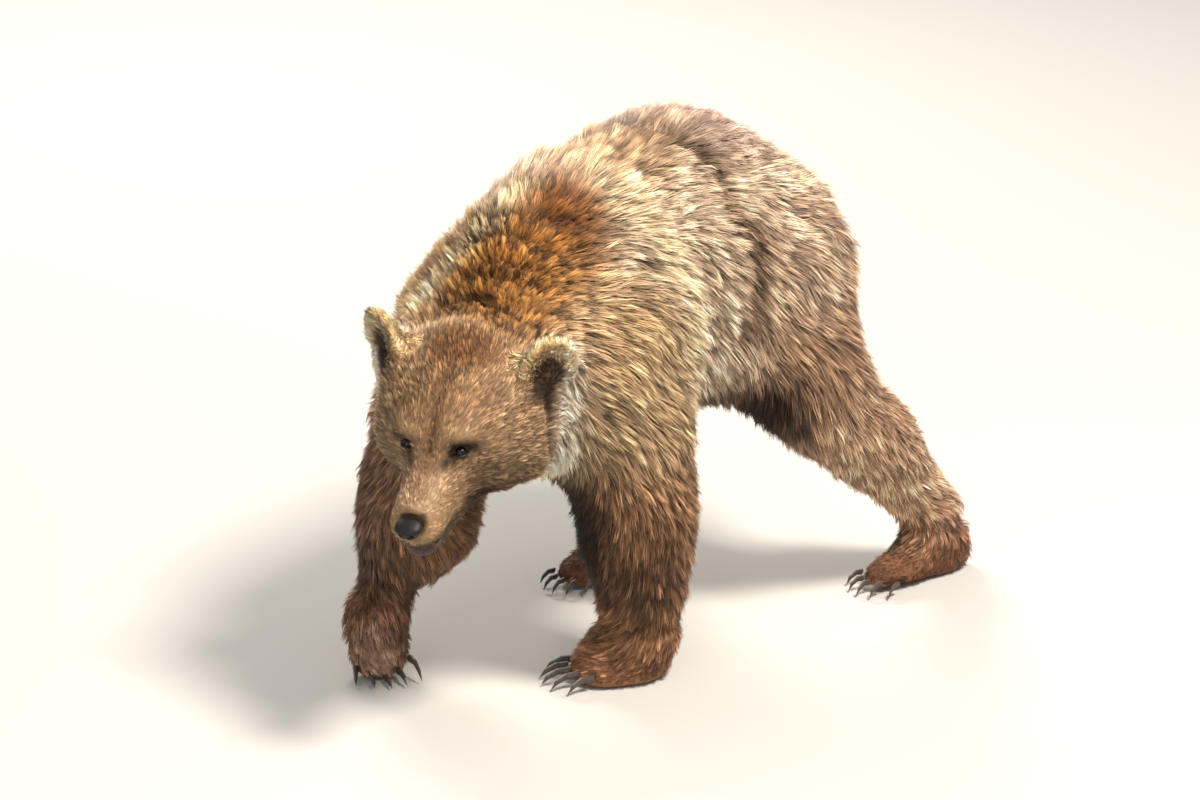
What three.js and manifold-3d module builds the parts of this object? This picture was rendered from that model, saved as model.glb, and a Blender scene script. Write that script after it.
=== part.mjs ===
// A brown bear in mid-stride, life size, as closed solids that meet along thin cuts.
// Millimetres, +X forward, +Y to the bear's left, +Z up. The outside of the solids is the tips of the coat.
//
// The body is one smooth field: tapers and egg-shaped masses run into each other, and the bear's outside is where
// the field is zero. A closed net of triangles is laid over that outside, piece by piece, and cutters part it into
// trunk, neck, head, jaw, ears, tail and the three lengths of each leg. Claws, eyes and nose sit in sockets.
import * as THREE from "three";
import { mergeVertices } from "three/addons/utils/BufferGeometryUtils.js";
import Module from "manifold-3d";

const wasm = await Module();
wasm.setup();

const vec = (x, y, z) => new THREE.Vector3(x, y, z);
const degrees = THREE.MathUtils.degToRad;
const SIDES = { left: 1, right: -1 };

// ---------- driving dimensions ----------
const CUT = 0.4; // width of the cuts between pieces that touch
const SOCKET = 0.35; // room round a claw, an eye or the nose in its socket
const FAR = 5000; // longer than the bear, for cutters without an end

// The head: the middle between the ears, turned to the left, bowed and a little tipped to the left.
const HEAD_PLACE = { at: vec(258, 76, 718), yaw: 18, pitch: 24, roll: 3 };
const HALF_HEAD = 162; // middle of the head to the middle of an ear
const EAR = { radii: vec(28, 58, 60), cup: vec(28, 37, 42), turn: 38, tilt: 24, root: -34 };
const EYE = { radius: 13, shows: 5, level: -58, apart: 37, outward: 0.3 };
const NOSE = { at: vec(341, 0, -118), radii: vec(25, 28, 24) };
const MOUTH = { corner: 118, level: -164 };

// The toes of each kind of foot: how far ahead the middle one is, how far apart they are, how far the outer ones
// stand back for each step sideways squared, and the length and thickness of the claws.
const FORE_TOE = { reach: 112, spread: 26, drop: 7, radii: vec(38, 17, 23), claw: 56, thick: 8 };
const HIND_TOE = { reach: 182, spread: 24, drop: 8, radii: vec(34, 16, 21), claw: 38, thick: 6.5 };
const TOES = [-2, -1, 0, 1, 2];
const CLAW_ARCH = 8;
const CLAW_OFF_GROUND = 5;
const CLAW_FAN = 0.1; // radians between neighbours

// Each leg: its joints from the top down, the limb's radii at the lower three, the planes that part it, and where
// the foot is and points.
const DOWN = vec(0, 0, -1);
const LEGS = {
  foreleg_left: {
    side: "left",
    fore: true,
    top: vec(-25, 150, 645),
    joints: [vec(-72, 190, 460), vec(-78, 200, 300), vec(-100, 192, 132)],
    radii: [148, 124, 91],
    bend: { point: vec(-60, 196, 440), normal: DOWN },
    ankle: { point: vec(-92, 186, 118), normal: DOWN },
    foot: { at: vec(-105, 172, 0), yaw: -30 },
  },
  foreleg_right: {
    side: "right",
    fore: true,
    top: vec(25, -142, 635),
    joints: [vec(62, -184, 460), vec(118, -172, 300), vec(140, -240, 150)],
    radii: [142, 133, 64],
    bend: { point: vec(80, -180, 425), normal: vec(0.3, 0, -0.95) },
    ankle: { point: vec(148, -240, 152), normal: vec(0.1, 0, -0.99) },
    foot: { at: vec(142, -264, 77), yaw: 54, pitch: 42, roll: -12 },
  },
  hindleg_left: {
    side: "left",
    fore: false,
    top: vec(-585, 150, 655),
    joints: [vec(-575, 225, 464), vec(-732, 262, 314), vec(-905, 292, 118)],
    radii: [142, 104, 70],
    bend: { point: vec(-640, 240, 400), normal: vec(-0.4, 0, -0.92) },
    ankle: { point: vec(-905, 292, 106), normal: DOWN },
    foot: { at: vec(-920, 292, 0), yaw: -6 },
  },
  hindleg_right: {
    side: "right",
    fore: false,
    top: vec(-560, -150, 655),
    joints: [vec(-390, -215, 440), vec(-465, -218, 275), vec(-540, -212, 112)],
    radii: [146, 106, 72],
    bend: { point: vec(-410, -218, 380), normal: vec(-0.2, 0, -0.98) },
    ankle: { point: vec(-540, -212, 104), normal: DOWN },
    foot: { at: vec(-550, -210, 0), yaw: 2 },
  },
};
const FORE_MUSCLE = vec(172, 112, 202);
const HIND_MUSCLE = vec(205, 125, 222);

// The room that a leg takes out of the trunk.
const LEG_LEAN = 0.3; // how far its inner face leans out for each millimetre up
const LEG_INSIDE = -62; // where that face would meet the ground, outwards of the middle
const ROOM_ROUND_BONE = 22;
const BETWEEN_LEGS = { left: -290, right: -150 };
const BELLY_LINE = 395;

// Planes between trunk, neck, head and tail, each with its normal pointing away from the trunk.
const NECK_ROOT = { point: vec(72, 0, 730), normal: vec(0.984, 0, 0.175) };
const HEAD_ROOT = { point: vec(215, 12, 650), normal: vec(0.966, 0.2, -0.16) };
const TAIL_ROOT = { point: vec(-812, 5, 735), normal: vec(-0.9, 0, -0.44) };

// Sides of the net's cells: small where the shape is small.
const CELL = { trunk: 90, neck: 60, head: 32.5, ear: 22, tail: 37, upperLeg: 76, lowerLeg: 63, paw: 30.5 };

const coat = new THREE.MeshStandardMaterial({ color: 0xb08a5c, roughness: 0.9, metalness: 0 });
const legCoat = new THREE.MeshStandardMaterial({ color: 0x7a5238, roughness: 0.9, metalness: 0 });
const horn = new THREE.MeshStandardMaterial({ color: 0x9a8672, roughness: 0.45, metalness: 0 });
const noseSkin = new THREE.MeshStandardMaterial({ color: 0x24201f, roughness: 0.4, metalness: 0 });
const eyeball = new THREE.MeshStandardMaterial({ color: 0x1c110a, roughness: 0.08, metalness: 0 });

// ---------- frames ----------

// x forward turned `yaw` to the left and `pitch` down, then rolled so that the left side drops by `roll`.
function frameAt({ at, yaw = 0, pitch = 0, roll = 0 }) {
  const turn = new THREE.Euler(-degrees(roll), degrees(pitch), degrees(yaw), "ZYX");
  return new THREE.Matrix4().makeRotationFromEuler(turn).setPosition(at);
}

const WORLD = new THREE.Matrix4();
const HEAD = frameAt(HEAD_PLACE);
const inHead = (x, y, z) => vec(x, y, z).applyMatrix4(HEAD);

function earFrame(s) {
  const inner = frameAt({ at: vec(6, s * HALF_HEAD, 8), yaw: s * EAR.turn, pitch: -4, roll: s * EAR.tilt });
  return HEAD.clone().multiply(inner);
}

for (const leg of Object.values(LEGS)) leg.frame = frameAt(leg.foot);

// ---------- fields: below zero inside, in millimetres ----------

// A limb length: radius ra at a, rb at b. With `flat` under 1 it is thinner across the unit vector `across`.
function taper(a, b, ra, rb, across = null, flat = 1) {
  const axis = b.clone().sub(a);
  const squared = axis.lengthSq();
  const offset = vec(0, 0, 0);
  return (p) => {
    offset.copy(p).sub(a);
    const t = THREE.MathUtils.clamp(offset.dot(axis) / squared, 0, 1);
    offset.addScaledVector(axis, -t);
    if (across) offset.addScaledVector(across, offset.dot(across) * (1 / flat - 1));
    return offset.length() - (ra + (rb - ra) * t);
  };
}

// An egg-shaped mass with three radii, in the axes of `frame`.
function mass(frame, centre, radii) {
  const inverse = frame.clone().multiply(new THREE.Matrix4().setPosition(centre)).invert();
  const q = vec(0, 0, 0);
  const slope = vec(0, 0, 0);
  return (p) => {
    q.copy(p).applyMatrix4(inverse).divide(radii);
    slope.copy(q).divide(radii);
    const out = q.length();
    return out > 0 ? (out * (out - 1)) / slope.length() : -radii.x;
  };
}

// Fields that run into each other over `reach`.
function blend(fields, reach) {
  return (p) => {
    let value = Infinity;
    for (const field of fields) {
      const next = field(p);
      const overlap = Math.max(reach - Math.abs(value - next), 0) / reach;
      value = Math.min(value, next) - (overlap * overlap * reach) / 4;
    }
    return value;
  };
}

// The first field with a hollow of the second's shape.
function hollow(field, scoop, reach) {
  const rest = blend([(p) => -field(p), scoop], reach);
  return (p) => -rest(p);
}

// ---------- flesh ----------
const trunk = blend(
  [
    mass(WORLD, vec(-160, 0, 694), vec(320, 250, 296)), // rib cage
    mass(WORLD, vec(-392, 0, 712), vec(318, 276, 312)), // belly and loin
    mass(WORLD, vec(-584, 0, 682), vec(240, 258, 236)), // rump
    mass(WORLD, vec(-15, 6, 798), vec(180, 130, 190)), // hump
    mass(WORLD, vec(70, 8, 610), vec(150, 178, 190)), // chest
  ],
  90,
);
const neck = blend(
  [
    taper(vec(10, 6, 740), inHead(-30, 4, -88), 152, 130),
    mass(WORLD, vec(110, 24, 645), vec(135, 170, 168)), // mane
    ...[1, -1].map((s) => taper(inHead(-45, s * 188, -50), inHead(-8, s * 146, -244), 42, 42)), // ruff
  ],
  80,
);
const skull = blend(
  [
    mass(HEAD, vec(45, 0, -74), vec(150, 138, 104)),
    mass(HEAD, vec(110, 0, -48), vec(92, 96, 72)), // forehead
    mass(HEAD, vec(62, 84, -112), vec(120, 82, 96)), // cheeks
    mass(HEAD, vec(62, -84, -112), vec(120, 82, 96)),
    mass(HEAD, vec(58, 88, -170), vec(100, 72, 64)), // jowls
    mass(HEAD, vec(58, -88, -170), vec(100, 72, 64)),
  ],
  50,
);
const brows = blend(
  [mass(HEAD, vec(172, 42, -46), vec(38, 34, 24)), mass(HEAD, vec(172, -42, -46), vec(38, 34, 24))],
  20,
);
const muzzle = blend(
  [
    taper(inHead(170, 0, -110), inHead(300, 0, -134), 65, 49),
    mass(HEAD, vec(309, 2, -148), vec(43, 50, 42)), // upper lip
  ],
  30,
);
const lowerJaw = blend(
  [
    taper(inHead(70, 0, -165), inHead(288, 0, -204), 62, 32),
    mass(HEAD, vec(185, 0, -180), vec(95, 58, 42)),
  ],
  30,
);
const face = blend([brows, skull, muzzle, lowerJaw], 42);
const tail = taper(vec(-790, 4, 760), vec(-846, 8, 668), 44, 30);

function ear(s) {
  const frame = earFrame(s);
  const rootTop = vec(-4, 0, -20).applyMatrix4(frame);
  const rootEnd = vec(0, -s * 40, -70).applyMatrix4(frame);
  const shell = blend([mass(frame, vec(0, 0, 0), EAR.radii), taper(rootTop, rootEnd, 34, 50)], 30);
  return hollow(shell, mass(frame, vec(EAR.cup.x, 0, 0), EAR.cup), 12);
}

const toeOf = (leg) => (leg.fore ? FORE_TOE : HIND_TOE);
const toeCentre = (toe, i) => vec(toe.reach - toe.drop * i * i, toe.spread * i, toe.radii.z);

function footField(leg) {
  const { frame, fore } = leg;
  const pads = fore
    ? [mass(frame, vec(30, 0, 48), vec(82, 66, 54)), mass(frame, vec(75, 0, 36), vec(58, 64, 36))]
    : [mass(frame, vec(-28, 0, 46), vec(62, 50, 52)), mass(frame, vec(85, 0, 38), vec(115, 56, 40))];
  const toes = TOES.map((i) => mass(frame, toeCentre(toeOf(leg), i), toeOf(leg).radii));
  return blend([blend(pads, 30), blend(toes, 5)], 14);
}

function legField(leg) {
  const [knee, middle, ankle] = leg.joints;
  const [wide, mid, thin] = leg.radii;
  const out = vec(0, 1, 0);
  const instep = vec(0, 0, 62).applyMatrix4(leg.frame);
  return blend(
    [
      mass(WORLD, leg.top, leg.fore ? FORE_MUSCLE : HIND_MUSCLE),
      taper(leg.top, knee, wide * 1.05, wide, out, 0.86),
      taper(knee, middle, wide, mid, out, 0.88),
      taper(middle, ankle, mid, thin),
      taper(ankle, instep, thin, thin * 0.86),
      footField(leg),
    ],
    46,
  );
}

const torsoAndHead = blend([blend([trunk, neck], 90), face], 60);
const wholeBody = blend([torsoAndHead, ...Object.values(LEGS).map(legField)], 70);
const withEars = blend([torsoAndHead, ear(SIDES.left), ear(SIDES.right)], 16);
const withTail = blend([wholeBody, tail], 30);

// ---------- a closed net over the outside of a field ----------

const AXES = [vec(1, 0, 0), vec(0, 1, 0), vec(0, 0, 1)];
// Each axis with the two across it, in right-handed order.
const TURNS = AXES.map((along, n) => [along, AXES[(n + 1) % 3], AXES[(n + 2) % 3]]);
const CORNERS = [0, 1].flatMap((x) => [0, 1].flatMap((y) => [0, 1].map((z) => vec(x, y, z))));
// The twelve edges of a cell, as pairs of corners.
const CELL_EDGES = CORNERS.flatMap((a) => AXES.map((step) => [a, a.clone().add(step)])).filter(
  ([, b]) => Math.max(b.x, b.y, b.z) < 2,
);

// The field at the corners of a box's cells. The box's own faces count as outside, which closes the net there.
class Samples {
  constructor(field, low, high, cell) {
    this.low = low;
    this.cell = cell;
    this.size = high.clone().sub(low).divideScalar(cell).ceil().addScalar(1);
    this.values = new Float64Array(this.size.x * this.size.y * this.size.z);
    this.each(0, (i, j, k) => {
      const last = i === this.size.x - 1 || j === this.size.y - 1 || k === this.size.z - 1;
      const value = field(vec(i, j, k).multiplyScalar(cell).add(low));
      this.values[this.at(i, j, k)] = last || i * j * k === 0 ? cell : value;
    });
    this.unpinch();
  }

  at(i, j, k) {
    return (k * this.size.y + j) * this.size.x + i;
  }

  // Visits every corner, or with `short` 1 every cell.
  each(short, visit) {
    for (let k = 0; k < this.size.z - short; k++)
      for (let j = 0; j < this.size.y - short; j++)
        for (let i = 0; i < this.size.x - short; i++) visit(i, j, k);
  }

  inside(n) {
    return this.values[n] < 0;
  }

  // Where only two opposite corners of a cell's face are inside, the net would touch itself: one more is filled.
  unpinch() {
    let again = true;
    while (again) {
      again = false;
      this.each(1, (i, j, k) => {
        for (const [, u, v] of TURNS) again = this.fillFace(i, j, k, u, v) || again;
      });
    }
  }

  fillFace(i, j, k, u, v) {
    const a = this.at(i, j, k);
    const b = this.at(i + u.x, j + u.y, k + u.z);
    const c = this.at(i + u.x + v.x, j + u.y + v.y, k + u.z + v.z);
    const d = this.at(i + v.x, j + v.y, k + v.z);
    const [ia, ib, ic, id] = [a, b, c, d].map((n) => this.inside(n));
    if (ia !== ic || ib !== id || ia === ib) return false;
    const [first, second] = ia ? [b, d] : [a, c];
    const nearer = this.values[first] < this.values[second] ? first : second;
    this.values[nearer] = -this.cell * 0.02;
    return true;
  }
}

// The middle of the places where the outside crosses a cell's edges, or null where it passes the cell by.
function crossing(samples, i, j, k) {
  const sum = vec(0, 0, 0);
  let count = 0;
  for (const [a, b] of CELL_EDGES) {
    const va = samples.values[samples.at(i + a.x, j + a.y, k + a.z)];
    const vb = samples.values[samples.at(i + b.x, j + b.y, k + b.z)];
    if (va < 0 === vb < 0) continue;
    sum.add(a.clone().lerp(b, va / (va - vb)));
    count += 1;
  }
  if (!count) return null;
  return sum.divideScalar(count).add(vec(i, j, k)).multiplyScalar(samples.cell).add(samples.low);
}

// The point moved on to the outside of the field, unless that is far away.
function settle(start, field, cell) {
  const point = start.clone();
  for (let round = 0; round < 3; round++) {
    const value = field(point);
    if (Math.abs(value) > cell) return start;
    const [x, y, z] = AXES.map((step) => field(point.clone().add(step)) - value);
    const slope = vec(x, y, z);
    point.addScaledVector(slope, -value / Math.max(slope.lengthSq(), 0.05));
  }
  return point.distanceTo(start) < cell * 0.6 ? point : start;
}

// A quad as two triangles along its shorter diagonal.
function quad(points, ring) {
  const first = points[ring[0]].distanceTo(points[ring[2]]);
  const second = points[ring[1]].distanceTo(points[ring[3]]);
  const order = first < second ? [0, 1, 2, 0, 2, 3] : [1, 2, 3, 1, 3, 0];
  return order.map((n) => ring[n]);
}

function netOver(field, low, high, cell) {
  const samples = new Samples(field, low, high, cell);
  const points = [];
  const pointOf = new Map();
  samples.each(1, (i, j, k) => {
    const point = crossing(samples, i, j, k);
    if (!point) return;
    pointOf.set(samples.at(i, j, k), points.length);
    points.push(settle(point, field, cell));
  });
  const triangles = [];
  samples.each(1, (i, j, k) => {
    const here = samples.inside(samples.at(i, j, k));
    for (const [along, u, v] of TURNS) {
      if (here === samples.inside(samples.at(i + along.x, j + along.y, k + along.z))) continue;
      const point = (a, b) =>
        pointOf.get(samples.at(i - a * u.x - b * v.x, j - a * u.y - b * v.y, k - a * u.z - b * v.z));
      const ring = [point(0, 0), point(1, 0), point(1, 1), point(0, 1)];
      triangles.push(...quad(points, here ? ring : ring.reverse()));
    }
  });
  const geometry = new THREE.BufferGeometry().setFromPoints(points);
  geometry.setIndex(triangles);
  return solidOf(geometry);
}

// The net inside a box that reaches `reach` to each side of `middle`.
const netRound = (field, middle, reach, cell) =>
  netOver(field, middle.clone().sub(reach), middle.clone().add(reach), cell);

// ---------- solids and cutters ----------

function solidOf(geometry) {
  const bare = geometry.clone();
  bare.deleteAttribute("normal");
  bare.deleteAttribute("uv");
  const merged = mergeVertices(bare, 1e-3);
  const vertProperties = new Float32Array(merged.attributes.position.array);
  const triVerts = new Uint32Array(merged.index.array);
  return new wasm.Manifold(new wasm.Mesh({ numProp: 3, vertProperties, triVerts }));
}

// Everything on the side of a plane that its normal points to, from `shift` beyond the plane.
function beyond({ point, normal }, shift = CUT / 2) {
  const turn = new THREE.Quaternion().setFromUnitVectors(vec(0, 0, 1), normal.clone().normalize());
  const block = new THREE.BoxGeometry(FAR, FAR, FAR).translate(0, 0, FAR / 2 + shift);
  return solidOf(block.applyQuaternion(turn).translate(point.x, point.y, point.z));
}
const behind = ({ point, normal }) => beyond({ point, normal: normal.clone().negate() });

// A rounded bar along the line from a to b as seen from the side, right through the bear.
function bar(a, b, radius) {
  const along = Math.atan2(b.z - a.z, b.x - a.x);
  const shape = new THREE.Shape();
  shape.absarc(a.x, a.z, radius, along + Math.PI / 2, along + Math.PI * 1.5, false);
  shape.absarc(b.x, b.z, radius, along - Math.PI / 2, along + Math.PI / 2, false);
  const length = 1000;
  const solid = new THREE.ExtrudeGeometry(shape, { depth: length, bevelEnabled: false, curveSegments: 7 });
  return solidOf(solid.translate(0, 0, -length / 2).rotateX(Math.PI / 2));
}

// The leg's room: outwards of a leaning inner face, round the bones as seen from the side, and all under the belly.
function legRoom(leg, grow) {
  const [knee, middle] = leg.joints;
  const s = SIDES[leg.side];
  const radius = leg.radii[0] + ROOM_ROUND_BONE + grow;
  const under = beyond({ point: vec(0, 0, BELLY_LINE), normal: DOWN }, -grow);
  const outside = beyond({ point: vec(0, s * LEG_INSIDE, 0), normal: vec(0, s, -LEG_LEAN) }, -grow);
  const away = vec(leg.fore ? 1 : -1, 0, 0);
  const ownHalf = beyond({ point: vec(BETWEEN_LEGS[leg.side], 0, 0), normal: away }, CUT / 2 - grow);
  const bars = bar(leg.top, knee, radius).add(bar(knee, middle, radius));
  return bars.add(under).intersect(outside).intersect(ownHalf);
}
const legRooms = Object.values(LEGS).map((leg) => legRoom(leg, CUT));
const withoutLegs = (solid) => legRooms.reduce((rest, room) => rest.subtract(room), solid);

function earRoom(s, grow) {
  const [depth, width, height] = [96, 128, 130];
  const room = new THREE.BoxGeometry(depth + grow * 2, width + grow * 2, height + grow * 2);
  return solidOf(room.translate(0, 0, EAR.root + height / 2).applyMatrix4(earFrame(s)));
}
const withoutEars = (solid) => solid.subtract(earRoom(SIDES.left, CUT)).subtract(earRoom(SIDES.right, CUT));

// Everything under the line of the mouth, in front of its corner.
function jawRoom(grow) {
  const [length, width, height] = [400, 400, 200];
  const room = new THREE.BoxGeometry(length, width, height);
  room.translate(MOUTH.corner + length / 2 - grow, 0, MOUTH.level - height / 2 + grow);
  return solidOf(room.applyMatrix4(HEAD));
}

// ---------- eyes, nose and claws, each as itself and grown by the room round it ----------

// Out from inside the skull, beside the bridge of the nose, until the ball shows by as much as it should.
function eyeCentre(s) {
  const centre = inHead(150, s * EYE.apart, EYE.level);
  const outward = inHead(1, s * EYE.outward, 0).sub(inHead(0, 0, 0)).normalize();
  while (torsoAndHead(centre) < EYE.shows - EYE.radius) centre.add(outward);
  return centre;
}

function eye(s, grow) {
  const centre = eyeCentre(s);
  const ball = new THREE.SphereGeometry(EYE.radius + grow, 10, 6);
  return solidOf(ball.translate(centre.x, centre.y, centre.z));
}

function nosePad(grow) {
  const { at, radii } = NOSE;
  const pad = new THREE.SphereGeometry(1, 10, 8).scale(radii.x + grow, radii.y + grow, radii.z + grow);
  return solidOf(pad.translate(at.x, at.y, at.z).applyMatrix4(HEAD));
}

// A claw leaves its toe, arches over and ends in a point just above the ground.
function clawPath(leg, i, grow) {
  const toe = toeOf(leg);
  const root = toeCentre(toe, i).add(vec(toe.radii.x * 0.55 - grow, 0, 4)).applyMatrix4(leg.frame);
  const turn = degrees(leg.foot.yaw) + i * CLAW_FAN;
  const ahead = (reach, z) => vec(root.x + reach * Math.cos(turn), root.y + reach * Math.sin(turn), z);
  const over = ahead(toe.claw * 0.62, root.z + CLAW_ARCH);
  return new THREE.QuadraticBezierCurve3(root, over, ahead(toe.claw, CLAW_OFF_GROUND));
}

const CLAW_SIDES = 6;
const CLAW_RINGS = [0, 0.35, 0.7];

function clawRing(path, t, thick, grow) {
  const centre = path.getPoint(t);
  const forward = path.getTangent(t);
  const across = vec(-forward.y, forward.x, 0).normalize();
  const up = forward.clone().cross(across);
  const girth = thick * (1 - t * 0.55);
  return Array.from({ length: CLAW_SIDES }, (_, n) => {
    const angle = (n / CLAW_SIDES) * Math.PI * 2;
    const side = centre.clone().addScaledVector(across, Math.cos(angle) * (girth * 0.72 + grow));
    return side.addScaledVector(up, Math.sin(angle) * (girth + grow));
  });
}

function claw(leg, i, grow) {
  const path = clawPath(leg, i, grow);
  const points = CLAW_RINGS.flatMap((t) => clawRing(path, t, toeOf(leg).thick, grow));
  const tip = points.push(path.getPoint(1)) - 1;
  const index = [];
  for (let n = 0; n < CLAW_SIDES; n++) {
    const m = (n + 1) % CLAW_SIDES;
    for (let ring = 0; ring < tip - CLAW_SIDES; ring += CLAW_SIDES) {
      index.push(ring + n, ring + m, ring + CLAW_SIDES + m);
      index.push(ring + n, ring + CLAW_SIDES + m, ring + CLAW_SIDES + n);
    }
    index.push(tip - CLAW_SIDES + n, tip - CLAW_SIDES + m, tip);
    if (n > 0 && m > 0) index.push(0, m, n);
  }
  const geometry = new THREE.BufferGeometry().setFromPoints(points);
  geometry.setIndex(index);
  return solidOf(geometry);
}

// ---------- the bear ----------
const bear = new THREE.Group();

function addPiece(name, solid, material) {
  const mesh = solid.getMesh();
  const geometry = new THREE.BufferGeometry();
  geometry.setAttribute("position", new THREE.BufferAttribute(new Float32Array(mesh.vertProperties), 3));
  geometry.setIndex(new THREE.BufferAttribute(new Uint32Array(mesh.triVerts), 1));
  geometry.computeVertexNormals();
  const piece = new THREE.Mesh(geometry, material);
  piece.name = name;
  bear.add(piece);
}

function addTrunk() {
  const body = netOver(withTail, vec(-1020, -420, 330), vec(220, 420, 1080), CELL.trunk);
  addPiece("trunk", withoutLegs(body.intersect(behind(NECK_ROOT))).intersect(behind(TAIL_ROOT)), coat);
  const end = netOver(withTail, vec(-960, -120, 560), vec(-740, 130, 840), CELL.tail);
  addPiece("tail", end.intersect(beyond(TAIL_ROOT)), coat);
}

function addNeck() {
  const front = netOver(wholeBody, vec(-60, -330, 380), vec(380, 380, 1020), CELL.neck);
  const middle = front.intersect(beyond(NECK_ROOT)).intersect(behind(HEAD_ROOT));
  addPiece("neck", withoutEars(withoutLegs(middle)), coat);
}

function addHead() {
  const front = netOver(withEars, vec(100, -260, 340), vec(660, 380, 880), CELL.head);
  let head = withoutEars(withoutLegs(front.intersect(beyond(NECK_ROOT)).intersect(beyond(HEAD_ROOT))));
  for (const [side, s] of Object.entries(SIDES)) {
    const middle = vec(0, 0, 0).applyMatrix4(earFrame(s));
    const net = netRound(withEars, middle, vec(95, 95, 95), CELL.ear);
    addPiece(`ear_${side}`, net.intersect(earRoom(s, 0)), coat);
    addPiece(`eye_${side}`, eye(s, 0), eyeball);
    head = head.subtract(eye(s, SOCKET));
  }
  head = head.subtract(nosePad(SOCKET));
  addPiece("jaw", head.intersect(jawRoom(0)), coat);
  addPiece("head", head.subtract(jawRoom(CUT)), coat);
  addPiece("nose", nosePad(0), noseSkin);
}

// One length of a leg, cut from a net between two heights.
function legLength(leg, middle, reach, [low, high], cell) {
  const centre = vec(middle.x, middle.y, (low + high) / 2);
  const net = netRound(wholeBody, centre, vec(reach, reach * 0.6, (high - low) / 2), cell);
  return net.intersect(legRoom(leg, 0));
}

// A foot's claws are numbered from the inner toe outwards.
const clawName = (leg, i) => `claw_${leg.fore ? "fore" : "hind"}_${leg.side}_${SIDES[leg.side] * i + 3}`;

function addLeg(name, leg) {
  const [, middle, ankle] = leg.joints;
  const upper = legLength(leg, leg.top.clone().lerp(middle, 0.5), 330, [200, 960], CELL.upperLeg);
  const lower = legLength(leg, middle.clone().lerp(ankle, 0.5), 330, [-30, 520], CELL.lowerLeg);
  const end = legLength(leg, vec(60, 0, 0).applyMatrix4(leg.frame), 270, [-30, 230], CELL.paw);
  const paw = end.intersect(beyond(leg.ankle)).subtract(beyond({ point: vec(0, 0, 0), normal: DOWN }, 0));
  const names = leg.fore
    ? [`${name}_upper`, `${name}_lower`, `forepaw_${leg.side}`]
    : [`thigh_${leg.side}`, `shank_${leg.side}`, `hindfoot_${leg.side}`];
  addPiece(names[0], withoutEars(upper.intersect(behind(leg.bend))), coat);
  addPiece(names[1], lower.intersect(beyond(leg.bend)).intersect(behind(leg.ankle)), legCoat);
  addPiece(names[2], TOES.reduce((rest, i) => rest.subtract(claw(leg, i, SOCKET)), paw), legCoat);
  for (const i of TOES) addPiece(clawName(leg, i), claw(leg, i, 0), horn);
}

addTrunk();
addNeck();
addHead();
for (const [name, leg] of Object.entries(LEGS)) addLeg(name, leg);

// The middle of the bear's footprint is the origin.
const bounds = new THREE.Box3().setFromObject(bear);
bear.position.set(-(bounds.min.x + bounds.max.x) / 2, -(bounds.min.y + bounds.max.y) / 2, 0);

export default bear;
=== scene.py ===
import math

import bpy
import numpy as np
from mathutils import Matrix, Vector
from mathutils.bvhtree import BVHTree
from mathutils.kdtree import KDTree


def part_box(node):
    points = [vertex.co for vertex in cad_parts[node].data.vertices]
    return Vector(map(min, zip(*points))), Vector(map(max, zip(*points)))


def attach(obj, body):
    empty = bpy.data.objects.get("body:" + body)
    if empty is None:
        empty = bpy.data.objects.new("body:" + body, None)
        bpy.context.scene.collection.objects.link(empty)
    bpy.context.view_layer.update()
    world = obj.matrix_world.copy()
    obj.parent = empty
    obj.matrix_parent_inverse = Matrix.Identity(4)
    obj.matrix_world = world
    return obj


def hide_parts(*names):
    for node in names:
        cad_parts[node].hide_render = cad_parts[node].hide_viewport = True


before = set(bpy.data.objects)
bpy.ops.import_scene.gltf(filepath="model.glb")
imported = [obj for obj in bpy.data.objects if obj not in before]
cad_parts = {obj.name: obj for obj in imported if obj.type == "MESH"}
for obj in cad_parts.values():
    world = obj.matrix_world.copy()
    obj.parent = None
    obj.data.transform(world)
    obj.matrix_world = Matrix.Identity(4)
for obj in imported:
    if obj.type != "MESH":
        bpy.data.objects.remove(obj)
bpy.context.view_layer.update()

# ---------- camera ----------
# A long lens stands nine metres off, ahead of the bear's left shoulder, and looks a little down on it. From
# so far away the far legs show at nearly the same scale as the near ones.
AIM = Vector((0.0250, -0.0130, 0.481))
CAMERA_TURN = math.radians(39)
CAMERA_RISE = math.radians(19)
CAMERA_AWAY = 9.0
LENS_MM, FILM_MM = 142.6, 36
SEEN_TO = 200

toward_camera = Vector(
    (
        math.cos(CAMERA_RISE) * math.cos(CAMERA_TURN),
        math.cos(CAMERA_RISE) * math.sin(CAMERA_TURN),
        math.sin(CAMERA_RISE),
    )
)
bpy.ops.object.camera_add(location=AIM + toward_camera * CAMERA_AWAY)
camera = bpy.context.object
camera.rotation_euler = (-toward_camera).to_track_quat("-Z", "Y").to_euler()
camera.data.sensor_width = FILM_MM
camera.data.lens = LENS_MM
camera.data.clip_end = SEEN_TO
bpy.context.scene.camera = camera

# ---------- studio ----------
# A matt painted floor in a pale room. One soft lamp hangs high on the bear's left, a weaker one stands
# ahead of its head, and a third behind its right side lights the edge of its back.
FLOOR_SIDE = 80
ROOM_LIGHT = 0.5


def linear(hex_colour):
    """The linear colour of an sRGB hex value such as "#a07040"."""
    parts = [int(hex_colour[n : n + 2], 16) / 255 for n in (1, 3, 5)]
    return tuple(c / 12.92 if c <= 0.04045 else ((c + 0.055) / 1.055) ** 2.4 for c in parts)


def new_material(name, look):
    """A material with those inputs of its Principled shader set. Returns it, its node tree and the shader."""
    material = bpy.data.materials.new(name)
    material.use_nodes = True
    tree = material.node_tree
    shader = tree.nodes["Principled BSDF"]
    for key, value in look.items():
        shader.inputs[key].default_value = value
    return material, tree, shader


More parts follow.
